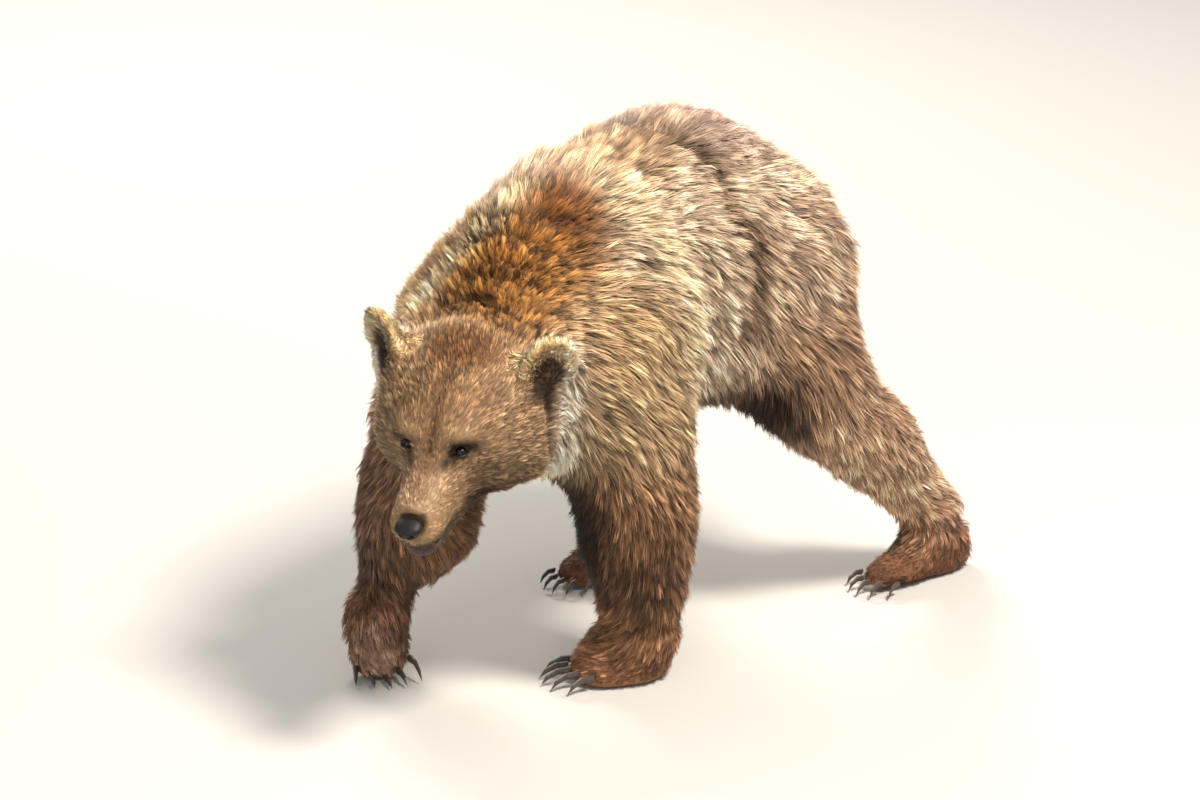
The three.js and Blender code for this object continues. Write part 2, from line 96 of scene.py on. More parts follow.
def add_node(tree, kind, settings=None, inputs=None, to=None):
    """Adds a node. Settings are its own properties. An input is given a value, or the socket that it
    is linked from, and `to` has the sockets that its outputs are linked to."""
    node = tree.nodes.new(kind)
    for key, value in (settings or {}).items():
        setattr(node, key, value)
    for key, value in (inputs or {}).items():
        if isinstance(value, bpy.types.NodeSocket):
            tree.links.new(value, node.inputs[key])
        else:
            node.inputs[key].default_value = value
    for key, socket in (to or {}).items():
        tree.links.new(node.outputs[key], socket)
    return node


def soft_lamp(name, place, size, watts, colour):
    """A square lamp that points at the bear."""
    bpy.ops.object.light_add(type="AREA", location=place)
    lamp = bpy.context.object
    lamp.name = name
    lamp.data.size = size
    lamp.data.energy = watts
    lamp.data.color = linear(colour)
    lamp.rotation_euler = (AIM - Vector(place)).to_track_quat("-Z", "Y").to_euler()


soft_lamp("key_lamp", (0.2, 3.4, 5.6), 1.5, 650, "#fff6ec")
soft_lamp("front_lamp", (5.5, 1.5, 2.2), 3.5, 75, "#fbf6ee")
soft_lamp("back_lamp", (-3.0, -4.5, 4.2), 2.2, 360, "#fff6ea")

world = bpy.data.worlds.new("pale_room")
world.use_nodes = True
room_light = world.node_tree.nodes["Background"].inputs
room_light["Color"].default_value = (*linear("#eef1f6"), 1)
room_light["Strength"].default_value = ROOM_LIGHT
bpy.context.scene.world = world
bpy.context.scene.view_settings.view_transform = "Standard"

bpy.ops.mesh.primitive_plane_add(size=FLOOR_SIDE)
floor = bpy.context.object
floor.name = "floor"
# Floor paint: matt, so it shows soft shadows and mirrors nothing.
paint_look = {"Base Color": (*linear("#c4c2bd"), 1), "Roughness": 0.9, "Specular IOR Level": 0.2}
floor.data.materials.append(new_material("matt_floor_paint", paint_look)[0])

# ---------- skin ----------
# The hide under the coat, one closed surface over all the flesh. It lies inside the tips of the coat
# by the coat's depth, and has the bear's folds: the wrinkles of the neck, the furrow of the brow and
# the line of the lips.
FLESH = [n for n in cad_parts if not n.startswith(("claw", "eye", "nose"))]
# How wide the skin's faces are, before those of the head are divided.
SKIN_CELL = 0.0095
# Parts of the body, by a word in their solids' names: how deep the coat is from the skin to the tips, how
# many times the skin's form is evened out, and the coat's colour. The head's depth is at its back, and the
# feet's at the toes.
BODY = {
    "trunk": (0.032, 110, "#f6d6b4"),
    "neck": (0.030, 60, "#bd8e5c"),
    "head": (0.030, 8, "#b8936d"),
    # The jaw's colour is darkened with painted shade, for the shade under the head.
    "jaw": (0.030, 6, "#6a4e36"),
    "ear": (0.005, 4, "#f8ca93"),
    "tail": (0.020, 8, "#c09a74"),
    "upper": (0.028, 70, "#ceab82"),
    "thigh": (0.030, 70, "#bf9777"),
    "lower": (0.022, 45, "#a97d5a"),
    "shank": (0.022, 45, "#ecbd98"),
    "forepaw": (0.009, 5, "#b98460"),
    "hindfoot": (0.009, 5, "#9d6a4a"),
}
rows = [next(row for word, row in BODY.items() if word in node) for node in FLESH]
depth_of = np.array([depth for depth, _, _ in rows])
evening_of = np.array([evening for _, evening, _ in rows])
colour_of = np.array([linear(colour) for _, _, colour in rows])
# How much thinner the coat is toward the face, again toward the nose, and on top of the back, and how much
# deeper it gets from the toes up.
TOWARD_FACE, TOWARD_NOSE, ON_BACK, ABOVE_TOES = 0.017, 0.007, 0.014, 0.011


def select_only(piece):
    bpy.ops.object.select_all(action="DESELECT")
    piece.select_set(True)
    bpy.context.view_layer.objects.active = piece


def in_edit_mode(piece, act):
    """Selects all of a piece in edit mode and does that to it."""
    select_only(piece)
    bpy.ops.object.mode_set(mode="EDIT")
    bpy.ops.mesh.select_all(action="SELECT")
    act()
    bpy.ops.object.mode_set(mode="OBJECT")


def new_object(name, mesh):
    piece = bpy.data.objects.new(name, mesh)
    bpy.context.collection.objects.link(piece)
    return piece


MERGE_WITHIN = 0.00001


def joined_copy(name, nodes):
    """One object with copies of those solids, loose triangles merged. A face knows its solid's number."""
    copies = [new_object(name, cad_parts[n].data.copy()) for n in nodes]
    for number, piece in enumerate(copies):
        part = piece.data.attributes.new("part", "INT", "FACE")
        part.data.foreach_set("value", np.full(len(piece.data.polygons), number, np.int32))
    select_only(copies[0])
    for piece in copies:
        piece.select_set(True)
    bpy.ops.object.join()
    joined = bpy.context.object
    in_edit_mode(joined, lambda: bpy.ops.mesh.remove_doubles(threshold=MERGE_WITHIN))
    return joined


def read_vectors(mesh, kind):
    """The vertices' places, "co", or normals, "normal"."""
    values = np.empty(len(mesh.vertices) * 3)
    mesh.vertices.foreach_get(kind, values)
    return values.reshape(-1, 3)


def read_places(mesh):
    return read_vectors(mesh, "co")


def read_normals(mesh):
    return read_vectors(mesh, "normal")


def write_places(mesh, places):
    mesh.vertices.foreach_set("co", places.ravel())
    mesh.update()


def unit(vectors):
    return vectors / np.maximum(np.linalg.norm(vectors, axis=-1, keepdims=True), 1e-9)


def ramp(low, high, values):
    """Runs smoothly from 0 at `low` to 1 at `high`."""
    t = np.clip((values - low) / (high - low), 0, 1)
    return t * t * (3 - 2 * t)


def evened(mesh, values, rounds, share=0.5):
    """Values at the vertices, each drawn `share` of the way to its neighbours' mean that many times."""
    ends = np.empty(len(mesh.edges) * 2, int)
    mesh.edges.foreach_get("vertices", ends)
    a, b = ends.reshape(-1, 2).T
    count = len(mesh.vertices)
    near = np.maximum(np.bincount(a, minlength=count) + np.bincount(b, minlength=count), 1)
    columns = [np.array(c, float) for c in values.reshape(count, -1).T]
    for _ in range(rounds):
        for n, c in enumerate(columns):
            total = np.bincount(a, c[b], count) + np.bincount(b, c[a], count)
            columns[n] = c + share * (total / near - c)
    return np.stack(columns, 1).reshape(values.shape)


# The head's axes: x toward the nose, y to the left, z up, from the middle between the ears. It is turned to
# the left, nods and leans by these angles.
HEAD_TURN, HEAD_NOD, HEAD_LEAN = math.radians(18), math.radians(24), math.radians(3)
EYE_IN_HEAD = Vector((0.2065, 0, -0.058))


def middle(node):
    low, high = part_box(node)
    return (low + high) / 2


head_axes = (
    Matrix.Rotation(HEAD_TURN, 3, "Z")
    @ Matrix.Rotation(HEAD_NOD, 3, "Y")
    @ Matrix.Rotation(-HEAD_LEAN, 3, "X")
)
head_middle = (middle("eye_left") + middle("eye_right")) / 2 - head_axes @ EYE_IN_HEAD


def in_head(places):
    return (np.asarray(places) - np.array(head_middle)) @ np.array(head_axes)


def from_head(x, y, z):
    return head_middle + head_axes @ Vector((x, y, z))


skin = joined_copy("skin", FLESH)
skin.data.name = "skin"
part_of_face = np.empty(len(skin.data.polygons), np.int32)
skin.data.attributes["part"].data.foreach_get("value", part_of_face)
solid_tree = BVHTree.FromPolygons(
    [v.co for v in skin.data.vertices], [p.vertices for p in skin.data.polygons]
)
# The solids are parted by thin cuts, so they are swollen a little, to run together.
SWELLING = 0.001
write_places(skin.data, read_places(skin.data) + SWELLING * read_normals(skin.data))
remesh = skin.modifiers.new("one_surface", "REMESH")
remesh.mode = "VOXEL"
remesh.voxel_size = SKIN_CELL
select_only(skin)
bpy.ops.object.modifier_apply(modifier="one_surface")


def against_solids(places):
    """For each place: how far it is outside the solids, and the number of the nearest solid."""
    outside, part = np.empty(len(places)), np.empty(len(places), int)
    for n, place in enumerate(places):
        found, normal, face, distance = solid_tree.find_nearest(place)
        outside[n] = math.copysign(distance, (Vector(place) - found).dot(normal))
        part[n] = part_of_face[face]
    return outside, part


def of_solids(*words):
    """The numbers of the solids that have one of those words in their names."""
    return [n for n, node in enumerate(FLESH) if any(word in node for word in words)]


def on_back(places):
    """How far each place is on top of the back, behind the hump: 0 to 1."""
    return ramp(0.89, 0.97, places[:, 2]) * ramp(0.20, 0.05, places[:, 0])


def coat_depth(mesh, places, part):
    """The coat's depth, running evenly from part to part."""
    ahead, _, above = in_head(places).T
    at_face, at_nose, at_nape = ramp(-0.15, -0.01, ahead), ramp(0.10, 0.24, ahead), ramp(-0.10, -0.02, above)
    depths = depth_of[part]
    thin = depths - TOWARD_FACE * at_face - TOWARD_NOSE * at_nose
    depths = np.where(np.isin(part, of_solids("head", "jaw")), thin, depths)
    deep = depths + ABOVE_TOES * ramp(0.02, 0.11, places[:, 2])
    depths = np.where(np.isin(part, of_solids("forepaw", "hindfoot")), deep, depths)
    nape = np.isin(part, of_solids("neck")) * at_nape
    depths = depths - TOWARD_FACE * nape * at_face
    return evened(mesh, depths - ON_BACK * on_back(places), 16)


outside, part = against_solids(read_places(skin.data))
# The skin is evened out, then moved in to its depth in a few rounds, by at most one step in each, and it
# stays just off the floor. The soles are bare.
EVENINGS, ROUNDS, SMOOTHINGS = max(evening_of), 3, 12
LONGEST_STEP, OFF_FLOOR = 0.012, 0.0005
softness = evened(skin.data, evening_of[part], 6) / EVENINGS
write_places(skin.data, evened(skin.data, read_places(skin.data), EVENINGS, 0.5 * softness))
for _ in range(ROUNDS):
    places = read_places(skin.data)
    outside, part = against_solids(places)
    depth = coat_depth(skin.data, places, part) * ramp(-0.004, 0.045, places[:, 2]) + OFF_FLOOR
    step = evened(skin.data, -depth - outside, 3)
    places += np.clip(step, -LONGEST_STEP, LONGEST_STEP)[:, None] * read_normals(skin.data)
    write_places(skin.data, evened(skin.data, places, SMOOTHINGS, 0.5 * softness**0.5))


def refine(piece, chosen):
    """Divides the faces whose corners are all among the chosen vertices in four."""
    mesh = piece.data
    select_only(piece)
    bpy.ops.object.mode_set(mode="EDIT")
    bpy.ops.mesh.select_all(action="DESELECT")
    bpy.ops.mesh.select_mode(type="FACE")
    bpy.ops.object.mode_set(mode="OBJECT")
    faces = [bool(chosen[list(p.vertices)].all()) for p in mesh.polygons]
    mesh.polygons.foreach_set("select", faces)
    bpy.ops.object.mode_set(mode="EDIT")
    bpy.ops.mesh.subdivide(number_cuts=1, smoothness=0.6)
    bpy.ops.object.mode_set(mode="OBJECT")


HEAD_BEGINS, FACE_BEGINS = -0.05, 0.145
toward_nose = in_head(read_places(skin.data))[:, 0]
refine(skin, np.isin(part, of_solids("head", "jaw", "ear")) & (toward_nose > HEAD_BEGINS))
outside, part = against_solids(read_places(skin.data))
toward_nose = in_head(read_places(skin.data))[:, 0]
refine(skin, np.isin(part, of_solids("head", "jaw")) & (toward_nose > FACE_BEGINS))
places = read_places(skin.data)
write_places(skin.data, evened(skin.data, places, 2, 0.4 * (in_head(places)[:, 0] > HEAD_BEGINS)))


def tree_of(points):
    tree = KDTree(len(points))
    for n, point in enumerate(points):
        tree.insert(point, n)
    tree.balance()
    return tree


places = read_places(skin.data)
skin_tree = tree_of(places)


def from_line(at, points):
    """Distance of each place from a line through the points."""
    best = np.full(len(at), 9.0)
    for a, b in zip(points, points[1:]):
        t = np.clip((at - a) @ (b - a) / max((b - a) @ (b - a), 1e-12), 0, 1)
        best = np.minimum(best, np.linalg.norm(at - a - t[:, None] * (b - a), axis=1))
    return best


STEP_ALONG = 0.006


def near_line(points, half_width):
    """At each vertex: 1 on the line, laid on the skin, and running out to 0 about twice that width away."""
    laid = []
    for a, b in zip(points, points[1:]):
        steps = max(int((Vector(b) - Vector(a)).length / STEP_ALONG), 1)
        laid += [Vector(a).lerp(Vector(b), n / steps) for n in range(steps + 1)]
    laid = np.array([skin_tree.find(p)[0] for p in laid])
    close = ((places > laid.min(0) - 3 * half_width) & (places < laid.max(0) + 3 * half_width)).all(1)
    value = np.zeros(len(places))
    value[close] = np.exp(-((from_line(places[close], laid) / half_width) ** 2))
    return value


def across(points):
    """The same line on the bear's other side."""
    return [(x, -y, z) for x, y, z in points]


def both_sides(line, *rest):
    return [(line, *rest), (across(line), *rest)]


def of_head(points, side=1):
    """A line given in the head's axes, on its left or right side."""
    return [from_head(x, side * y, z) for x, y, z in points]


# The lines of the folds. The furrow's, the lips' and the cheek's are given in the head's axes.
NECK_WRINKLES = [
    [
        (0.345, -0.030, 0.930), (0.333, 0.022, 0.944), (0.317, 0.060, 0.938), (0.271, 0.093, 0.936),
        (0.249, 0.117, 0.922),
    ],
    [
        (0.388, -0.045, 0.885), (0.374, 0.006, 0.911), (0.360, 0.053, 0.907), (0.338, 0.090, 0.896),
        (0.316, 0.120, 0.882),
    ],
    [(0.414, 0.002, 0.862), (0.396, 0.055, 0.867), (0.378, 0.090, 0.861), (0.357, 0.119, 0.850)],
    [(0.434, -0.012, 0.839), (0.419, 0.052, 0.846), (0.392, 0.099, 0.839), (0.369, 0.138, 0.823)],
    [(0.455, -0.061, 0.793), (0.448, 0.062, 0.812), (0.427, 0.121, 0.794), (0.395, 0.176, 0.765)],
    [(0.480, -0.040, 0.775), (0.465, 0.049, 0.802), (0.450, 0.114, 0.781), (0.425, 0.159, 0.760)],
]
HAUNCH_CREASE = [
    (-0.096, 0.024, 1.014), (-0.122, 0.131, 0.976), (-0.119, 0.205, 0.901), (-0.170, 0.256, 0.780),
    (-0.151, 0.266, 0.691), (-0.120, 0.240, 0.600),
]
SHOULDER_RIDGE = [(0.110, 0.090, 0.970), (0.085, 0.177, 0.896), (0.060, 0.240, 0.757), (0.030, 0.260, 0.620)]
SHOULDER_HOLLOW = [
    (0.020, 0.100, 0.985), (-0.010, 0.200, 0.900), (-0.030, 0.250, 0.770), (-0.050, 0.250, 0.640),
    (-0.040, 0.200, 0.500),
]
FURROW = of_head([(0.208, 0, -0.058), (0.170, 0, -0.004), (0.115, 0, 0.026), (0.050, 0, 0.040)])
LIP_LINE = [(0.270, 0.050, -0.176), (0.300, 0.044, -0.182), (0.325, 0.030, -0.184), (0.338, 0, -0.182)]
LIP_LINE = of_head(LIP_LINE) + of_head(LIP_LINE[:-1], -1)[::-1]
CHEEK_EDGE = [
    (0.045, 0.169, -0.045), (0.050, 0.174, -0.085), (0.060, 0.170, -0.127), (0.050, 0.150, -0.190),
    (0.032, 0.133, -0.238),
]
# Creases: a line, half its width, how deep it presses the skin in, where less than 0 makes a ridge, and how
# far it parts the coat.
CREASES = [(line, 0.008, 0.010, 0.95) for line in NECK_WRINKLES]
CREASES += both_sides(HAUNCH_CREASE, 0.030, 0.015, 0.25)
CREASES += both_sides(SHOULDER_HOLLOW, 0.050, 0.022, 0)
CREASES += both_sides(SHOULDER_RIDGE, 0.045, -0.012, 0)
CREASES += [(FURROW, 0.010, 0.004, 0.25), (LIP_LINE, 0.0045, 0.004, 0.9)]
CREASES += [(of_head(CHEEK_EDGE, side), 0.010, 0.008, 0.45) for side in (1, -1)]
# Round forms of the face, in the head's axes: middle, radii and how far they stand out or in.
FACE_FORMS = [
    ((0.208, 0.059, -0.054), (0.020, 0.019, 0.014), -0.009),  # eye socket
    ((0.200, 0.060, -0.028), (0.030, 0.030, 0.013), 0.012),  # brow
    ((0.216, 0.062, -0.084), (0.026, 0.020, 0.014), -0.003),  # under the eye
    ((0.330, 0.028, -0.148), (0.026, 0.020, 0.016), 0.003),  # pad of the whiskers
    ((0.240, 0.032, -0.062), (0.050, 0.012, 0.014), 0.002),  # edge of the muzzle's bridge
    ((0.325, 0.010, -0.099), (0.014, 0.020, 0.012), 0.0070),  # above the nose
    ((0.050, 0.008, 0.042), (0.022, 0.022, 0.020), -0.004),  # dent of the crown
]


def press(mesh):
    """Presses the creases and the face's forms into the skin. Returns how far the coat parts there."""
    push, parted = np.zeros(len(places)), np.zeros(len(places))
    for line, half_width, deep, parts in CREASES:
        near = near_line(line, half_width)
        push -= deep * near
        parted = np.maximum(parted, parts * near)
    for centre, radii, out in FACE_FORMS:
        for side in (1, -1):
            offset = (in_head(places) - np.array(centre) * (1, side, 1)) / radii
            push += out * np.exp(-(offset**2).sum(1))
    write_places(mesh, places + push[:, None] * read_normals(mesh))
    return parted


parting = press(skin.data)
places, normals = read_places(skin.data), read_normals(skin.data)
skin_tree = tree_of(places)
outside, part = against_solids(places)

# The markings and painted light: the colours of the parts of the body, then patches and stripes over them.
# Some of these are painted shade in creases, hollows and under the body, and some are painted light on lit
# edges; each says which. Each patch has a middle, radii, a colour and a strength, and each stripe a line,
# half its width, a colour and a strength.
EYE_ASIDE = head_axes @ Vector((0, 0.004, 0.002))
EYES = [middle("eye_" + side) + EYE_ASIDE for side in ("left", "right")]
EYE_CORNERS = [(0.226, 0.036, -0.064), (0.212, 0.056, -0.054), (0.190, 0.082, -0.050)]
# Each ear's cup, darkened with painted shade: the way its opening faces, its middle and its radii, in the
# head's axes.
EAR_FRONT = (0.79, 0.61)
EAR_CUP, EAR_CUP_RADII = (0.030, 0.163, -0.010), (0.060, 0.033, 0.042)
EAR_SHADE = [(0.040, 0.165, -0.045), (0.044, 0.171, -0.066)]


def pair(centre, *rest):
    """The same patch on the left and on the right."""
    return [(centre, *rest), (across([centre])[0], *rest)]


PATCHES = [
    ((0.275, 0.092, 0.925), (0.162, 0.160, 0.122), "#86501a", 0.98),  # hump
    ((0.390, 0.078, 0.860), (0.108, 0.170, 0.120), "#cf8e45", 0.95),  # nape
    ((0.290, 0.160, 0.860), (0.090, 0.070, 0.090), "#a06e34", 0.8),  # side of the hump
    *pair((-0.300, 0.060, 0.960), (0.200, 0.170, 0.080), "#bfa08f", 0.8),  # rump
    ((0.010, 0, 1.000), (0.170, 0.150, 0.070), "#c19a70", 0.8),  # between the shoulders
    *pair((0.020, 0.120, 0.965), (0.110, 0.080, 0.060), "#cba076", 0.65),
    ((-0.075, 0.040, 1.010), (0.060, 0.040, 0.035), "#8f6848", 0.7),  # dark swirl on the back
    *pair((0.230, 0.240, 0.730), (0.090, 0.070, 0.130), "#e0b787", 0.7),  # shoulder
    ((-0.310, 0.270, 0.740), (0.140, 0.100, 0.150), "#e4c2a4", 0.8),  # haunch
    ((-0.310, -0.250, 0.740), (0.140, 0.100, 0.150), "#e4c2a4", 0.8),
    # Partly the belly's own darker coat, partly painted shade under the body.
    *pair((-0.120, 0.170, 0.450), (0.200, 0.110, 0.060), "#5c412f", 0.85),  # belly and groin
    # Painted shade between the hind legs.
    ((-0.215, 0.210, 0.400), (0.095, 0.095, 0.120), "#2f2118", 0.9),  # inside of the thigh
    ((-0.150, -0.200, 0.300), (0.150, 0.140, 0.250), "#a47d63", 0.8),  # right hind leg
    # Painted shade on the inner side of the left foreleg.
    ((0.240, 0.130, 0.330), (0.110, 0.090, 0.220), "#1a120b", 0.95),  # inside of the left foreleg
    ((0.240, 0.240, 0.210), (0.130, 0.110, 0.080), "#5f412d", 0.7),  # above the left forepaw
    ((0.300, -0.100, 0.480), (0.140, 0.160, 0.160), "#9c7654", 0.8),  # chest
    # Partly the leg's own dark brown, partly the head's painted shadow on it.
    ((0.400, -0.220, 0.280), (0.130, 0.120, 0.180), "#6c5244", 0.8),  # right foreleg
    ((0.460, -0.200, 0.420), (0.110, 0.110, 0.120), "#b0876a", 0.75),  # top of the right foreleg
    ((0.465, -0.200, 0.050), (0.070, 0.070, 0.060), "#ebbb9d", 0.8),  # right forepaw
]
HEAD_PATCHES = [
    # Painted shade: the throat and the underside of the jaw are darkened for the shade under the head.
    ((0.150, 0, -0.215), (0.130, 0.120, 0.060), "#4a3626", 0.8),  # throat and underside of the jaw
    ((0.275, 0, -0.080), (0.080, 0.055, 0.065), "#d2a984", 0.9),  # muzzle
    *pair((0.300, 0.045, -0.135), (0.060, 0.030, 0.035), "#cda676", 0.7),  # upper lip
    ((0.285, 0, -0.072), (0.034, 0.020, 0.020), "#a87a56", 0.5),  # top of the muzzle
    ((0.225, 0, -0.055), (0.030, 0.030, 0.030), "#8e6640", 0.55),  # between the eyes
    *pair((0.192, 0.055, -0.018), (0.032, 0.030, 0.013), "#c59f74", 0.5),  # brow
    ((0.110, 0, 0.010), (0.090, 0.110, 0.060), "#a17850", 0.6),  # forehead
    ((0.020, 0, 0.030), (0.050, 0.100, 0.040), "#8a592b", 0.75),  # crown
    *pair((0.130, 0.120, -0.110), (0.090, 0.050, 0.070), "#a58968", 0.6),  # cheek
    ((0.312, 0, -0.214), (0.026, 0.040, 0.012), "#b9987a", 0.7),  # chin
]
# The far edge of the neck, which carries a stripe of painted light for the sun on that side.
LIT_NECK_EDGE = [
    (0.436, -0.118, 0.778), (0.401, -0.080, 0.846), (0.380, -0.050, 0.890), (0.355, -0.026, 0.930),
    (0.262, -0.018, 0.985),
]
RUFF = [(-0.035, 0.175, 0.00), (-0.010, 0.188, -0.09), (0.010, 0.175, -0.17), (0.000, 0.145, -0.25)]
STRIPES = [
    # Painted highlight along the lit ridge of the shoulders.
    *both_sides(SHOULDER_RIDGE, 0.038, "#fbdcae", 0.85),
    # Painted shade in the crease before the haunch.
    *both_sides(HAUNCH_CREASE, 0.024, "#6b4b33", 0.85),
    # Painted shade in the hollow behind the shoulder.
    *both_sides(SHOULDER_HOLLOW, 0.022, "#b18b66", 0.3),
    # Painted shade in the furrow of the brow.
    (FURROW, 0.011, "#734a29", 0.5),
    # Painted light along the lit edge of the neck.
    (LIT_NECK_EDGE, 0.030, "#f8d9aa", 0.92),
]
for s in (1, -1):
    STRIPES += [
        (of_head(RUFF, s), 0.038, "#ffe9cc", 0.9),
        # Painted shade in the crease between the cheek and the ruff.
        (of_head(CHEEK_EDGE, s), 0.007, "#6b4a30", 0.65),
        # Around the eyes: partly their own dark skin and hair, partly painted shade under the brow.
        (of_head(EYE_CORNERS, s), 0.012, "#22160f", 0.85),
        (of_head(EAR_SHADE, s), 0.015, "#3a2616", 0.85),
    ]
# Painted shade in the neck's wrinkles.
STRIPES += [(line, 0.0055, "#432410", 0.95) for line in NECK_WRINKLES]
LIP_COLOUR = "#3a2a28"
LOWER_LIP = [(0.296, 0.031, -0.188), (0.309, 0.022, -0.194), (0.318, 0, -0.198)]
LOWER_LIP = of_head(LOWER_LIP) + of_head(LOWER_LIP[:-1], -1)[::-1]
# A patch fades out between these shares of its radii. The parts' colours are drawn together this many
# times, each time by this share.
PATCH_FADES = 0.45, 1.35
BLENDINGS, HEAD_BLENDS, BODY_BLENDS = 130, 0.15, 0.5


def markings_and_painted_light(mesh):
    """The coat's colour at every vertex, linear, with its painted light and shade. The parts' colours run
    together, least on the head.
    """
    share = np.where(in_head(places)[:, 0] > HEAD_BEGINS, HEAD_BLENDS, BODY_BLENDS)
    colour = evened(mesh, colour_of[part], BLENDINGS, share)

    def lay_on(weight, hex_colour):
        colour[:] += weight[:, None] * (np.array(linear(hex_colour)) - colour)

    for spots, at in ((PATCHES, places), (HEAD_PATCHES, in_head(places))):
        for centre, radii, hex_colour, strength in spots:
            far = np.linalg.norm((at - centre) / radii, axis=1)
            lay_on(strength * (1 - ramp(*PATCH_FADES, far)), hex_colour)
    for line, half_width, hex_colour, strength in STRIPES:
        lay_on(strength * near_line(line, half_width), hex_colour)
    # The cups of the ears are darkened with painted shade, as their hollows lie in shade, and their rims and
    # backs stay pale.
    for s in (1, -1):
        front = np.array(head_axes @ Vector((EAR_FRONT[0], s * EAR_FRONT[1], 0)))
        facing = ramp(-0.1, 0.4, normals @ front)
        far = np.linalg.norm((in_head(places) - np.array(EAR_CUP) * (1, s, 1)) / EAR_CUP_RADII, axis=1)
        lay_on(0.96 * facing * (1 - ramp(0.7, 1.25, far)), "#2e1d11")
    return colour


tone = markings_and_painted_light(skin.data)

# The way the hair lies: combed from the nose over the back, down the flanks and legs and out over the toes.
COMBED_MIDDLE = [
    of_head([(0.33, 0, -0.09), (0.22, 0, -0.04), (0.11, 0, 0.02), (0, 0, 0.03)])
    + [(0.38, 0.03, 0.88), (0.24, 0.0, 0.985), (0.0, 0, 1.01), (-0.2, 0, 1.01), (-0.42, 0, 0.93)]
    + [(-0.55, 0, 0.77), (-0.60, 0, 0.62)],
    of_head([(0.33, 0, -0.19), (0.18, 0, -0.22), (0.05, 0, -0.22)])
    + [(0.40, 0.02, 0.50), (0.33, 0, 0.42), (0.12, 0, 0.39), (-0.25, 0, 0.41), (-0.48, 0, 0.50)],
]
COMBED_SIDES = [
    [(0.30, 0.15, 0.88), (0.16, 0.20, 0.84), (0.04, 0.25, 0.72), (-0.06, 0.26, 0.58), (-0.12, 0.22, 0.46)],
    [(0.06, 0.15, 0.95), (-0.12, 0.20, 0.90), (-0.24, 0.25, 0.80), (-0.32, 0.28, 0.66), (-0.38, 0.30, 0.50)],
    [(-0.2, 0.12, 0.98), (-0.42, 0.16, 0.84), (-0.52, 0.18, 0.66), (-0.52, 0.2, 0.5)],
    [(0.34, 0.20, 0.74), (0.27, 0.25, 0.70), (0.20, 0.28, 0.56), (0.17, 0.28, 0.44)],
]
COMBED_HEAD = [
    [(0.335, 0.03, -0.13), (0.28, 0.055, -0.125), (0.2, 0.085, -0.12), (0.11, 0.15, -0.11)]
    + [(0.0, 0.175, -0.10), (-0.08, 0.17, -0.16)],
    [(0.23, 0.03, -0.05), (0.19, 0.055, -0.015), (0.13, 0.09, 0.0), (0.06, 0.12, 0.01), (-0.03, 0.13, 0.02)],
    [(0.22, 0.07, -0.06), (0.16, 0.11, -0.05), (0.09, 0.145, -0.045), (0.0, 0.175, -0.05)],
    [(0.30, 0.03, -0.18), (0.2, 0.05, -0.20), (0.1, 0.09, -0.20), (0.0, 0.13, -0.20)],
    [(0.0, 0.14, -0.03), (0.0, 0.165, 0.03), (-0.005, 0.18, 0.07)],
    [(-0.030, 0.175, 0.00), (-0.005, 0.188, -0.09), (0.010, 0.175, -0.17), (0.000, 0.145, -0.25)],
]
COMBED_LEGS = [
    [(0.20, 0.28, 0.46), (0.165, 0.29, 0.30), (0.155, 0.27, 0.14), (0.17, 0.20, 0.06), (0.25, 0.09, 0.03)],
    [(0.30, -0.22, 0.62), (0.34, -0.24, 0.44), (0.37, -0.25, 0.30), (0.39, -0.26, 0.17), (0.41, -0.23, 0.09)]
    + [(0.44, -0.15, 0.02)],
    [(-0.38, 0.26, 0.52), (-0.44, 0.27, 0.40), (-0.55, 0.29, 0.24), (-0.67, 0.29, 0.10), (-0.60, 0.28, 0.05)]
    + [(-0.46, 0.27, 0.03)],
    [(-0.20, -0.24, 0.60), (-0.16, -0.24, 0.42), (-0.22, -0.24, 0.28), (-0.30, -0.23, 0.12)]
    + [(-0.24, -0.22, 0.06), (-0.10, -0.22, 0.03)],
]
# Near a combing line, within about this reach, the hair follows it closely. An ear's root is this
# far below its middle.
COMB_REACH, EAR_ROOT_DOWN = 0.015, 0.045


def combing_lines():
    lines = COMBED_MIDDLE + COMBED_SIDES + [across(line) for line in COMBED_SIDES] + COMBED_LEGS
    for side in (1, -1):
        lines = lines + [of_head(line, side) for line in COMBED_HEAD]
    return lines


def lay_of_coat(mesh, places, normals):
    """The direction along the skin in which the hair lies at each vertex."""
    lay = np.zeros_like(places)
    for line in combing_lines():
        for a, b in zip(line, line[1:]):
            a, b = np.array(a, float), np.array(b, float)
            weight = 1 / (from_line(places, (a, b)) ** 2 + COMB_REACH**2) ** 2
            lay += weight[:, None] * (b - a) / np.linalg.norm(b - a)
    for _ in range(3):
        lay -= (lay * normals).sum(1)[:, None] * normals
        lay = evened(mesh, unit(lay), 4)
    # The ears' hair fans out from their roots.
    for side in ("left", "right"):
        ear_root = np.array(middle("ear_" + side)) - EAR_ROOT_DOWN * np.array(head_axes.col[2])
        own = part == FLESH.index("ear_" + side)
        lay[own] = unit(places[own] - ear_root)
    return unit(lay - (lay * normals).sum(1)[:, None] * normals)


lay = lay_of_coat(skin.data, places, normals)
depth = coat_depth(skin.data, places, part)


def paint(mesh, name, colours):
    attribute = mesh.color_attributes.new(name, "FLOAT_COLOR", "POINT")
    attribute.data.foreach_set("color", np.column_stack([colours, np.ones(len(colours))]).ravel())


# The skin is darker than the coat, and has the lips' own colour along their line.
SKIN_SHARE, LIP_EDGE = 0.6, 0.008
skin_tone = SKIN_SHARE * tone
skin_tone += near_line(LIP_LINE, LIP_EDGE)[:, None] * (np.array(linear(LIP_COLOUR)) - skin_tone)
paint(skin.data, "MarkingsAndPaintedLight", skin_tone)

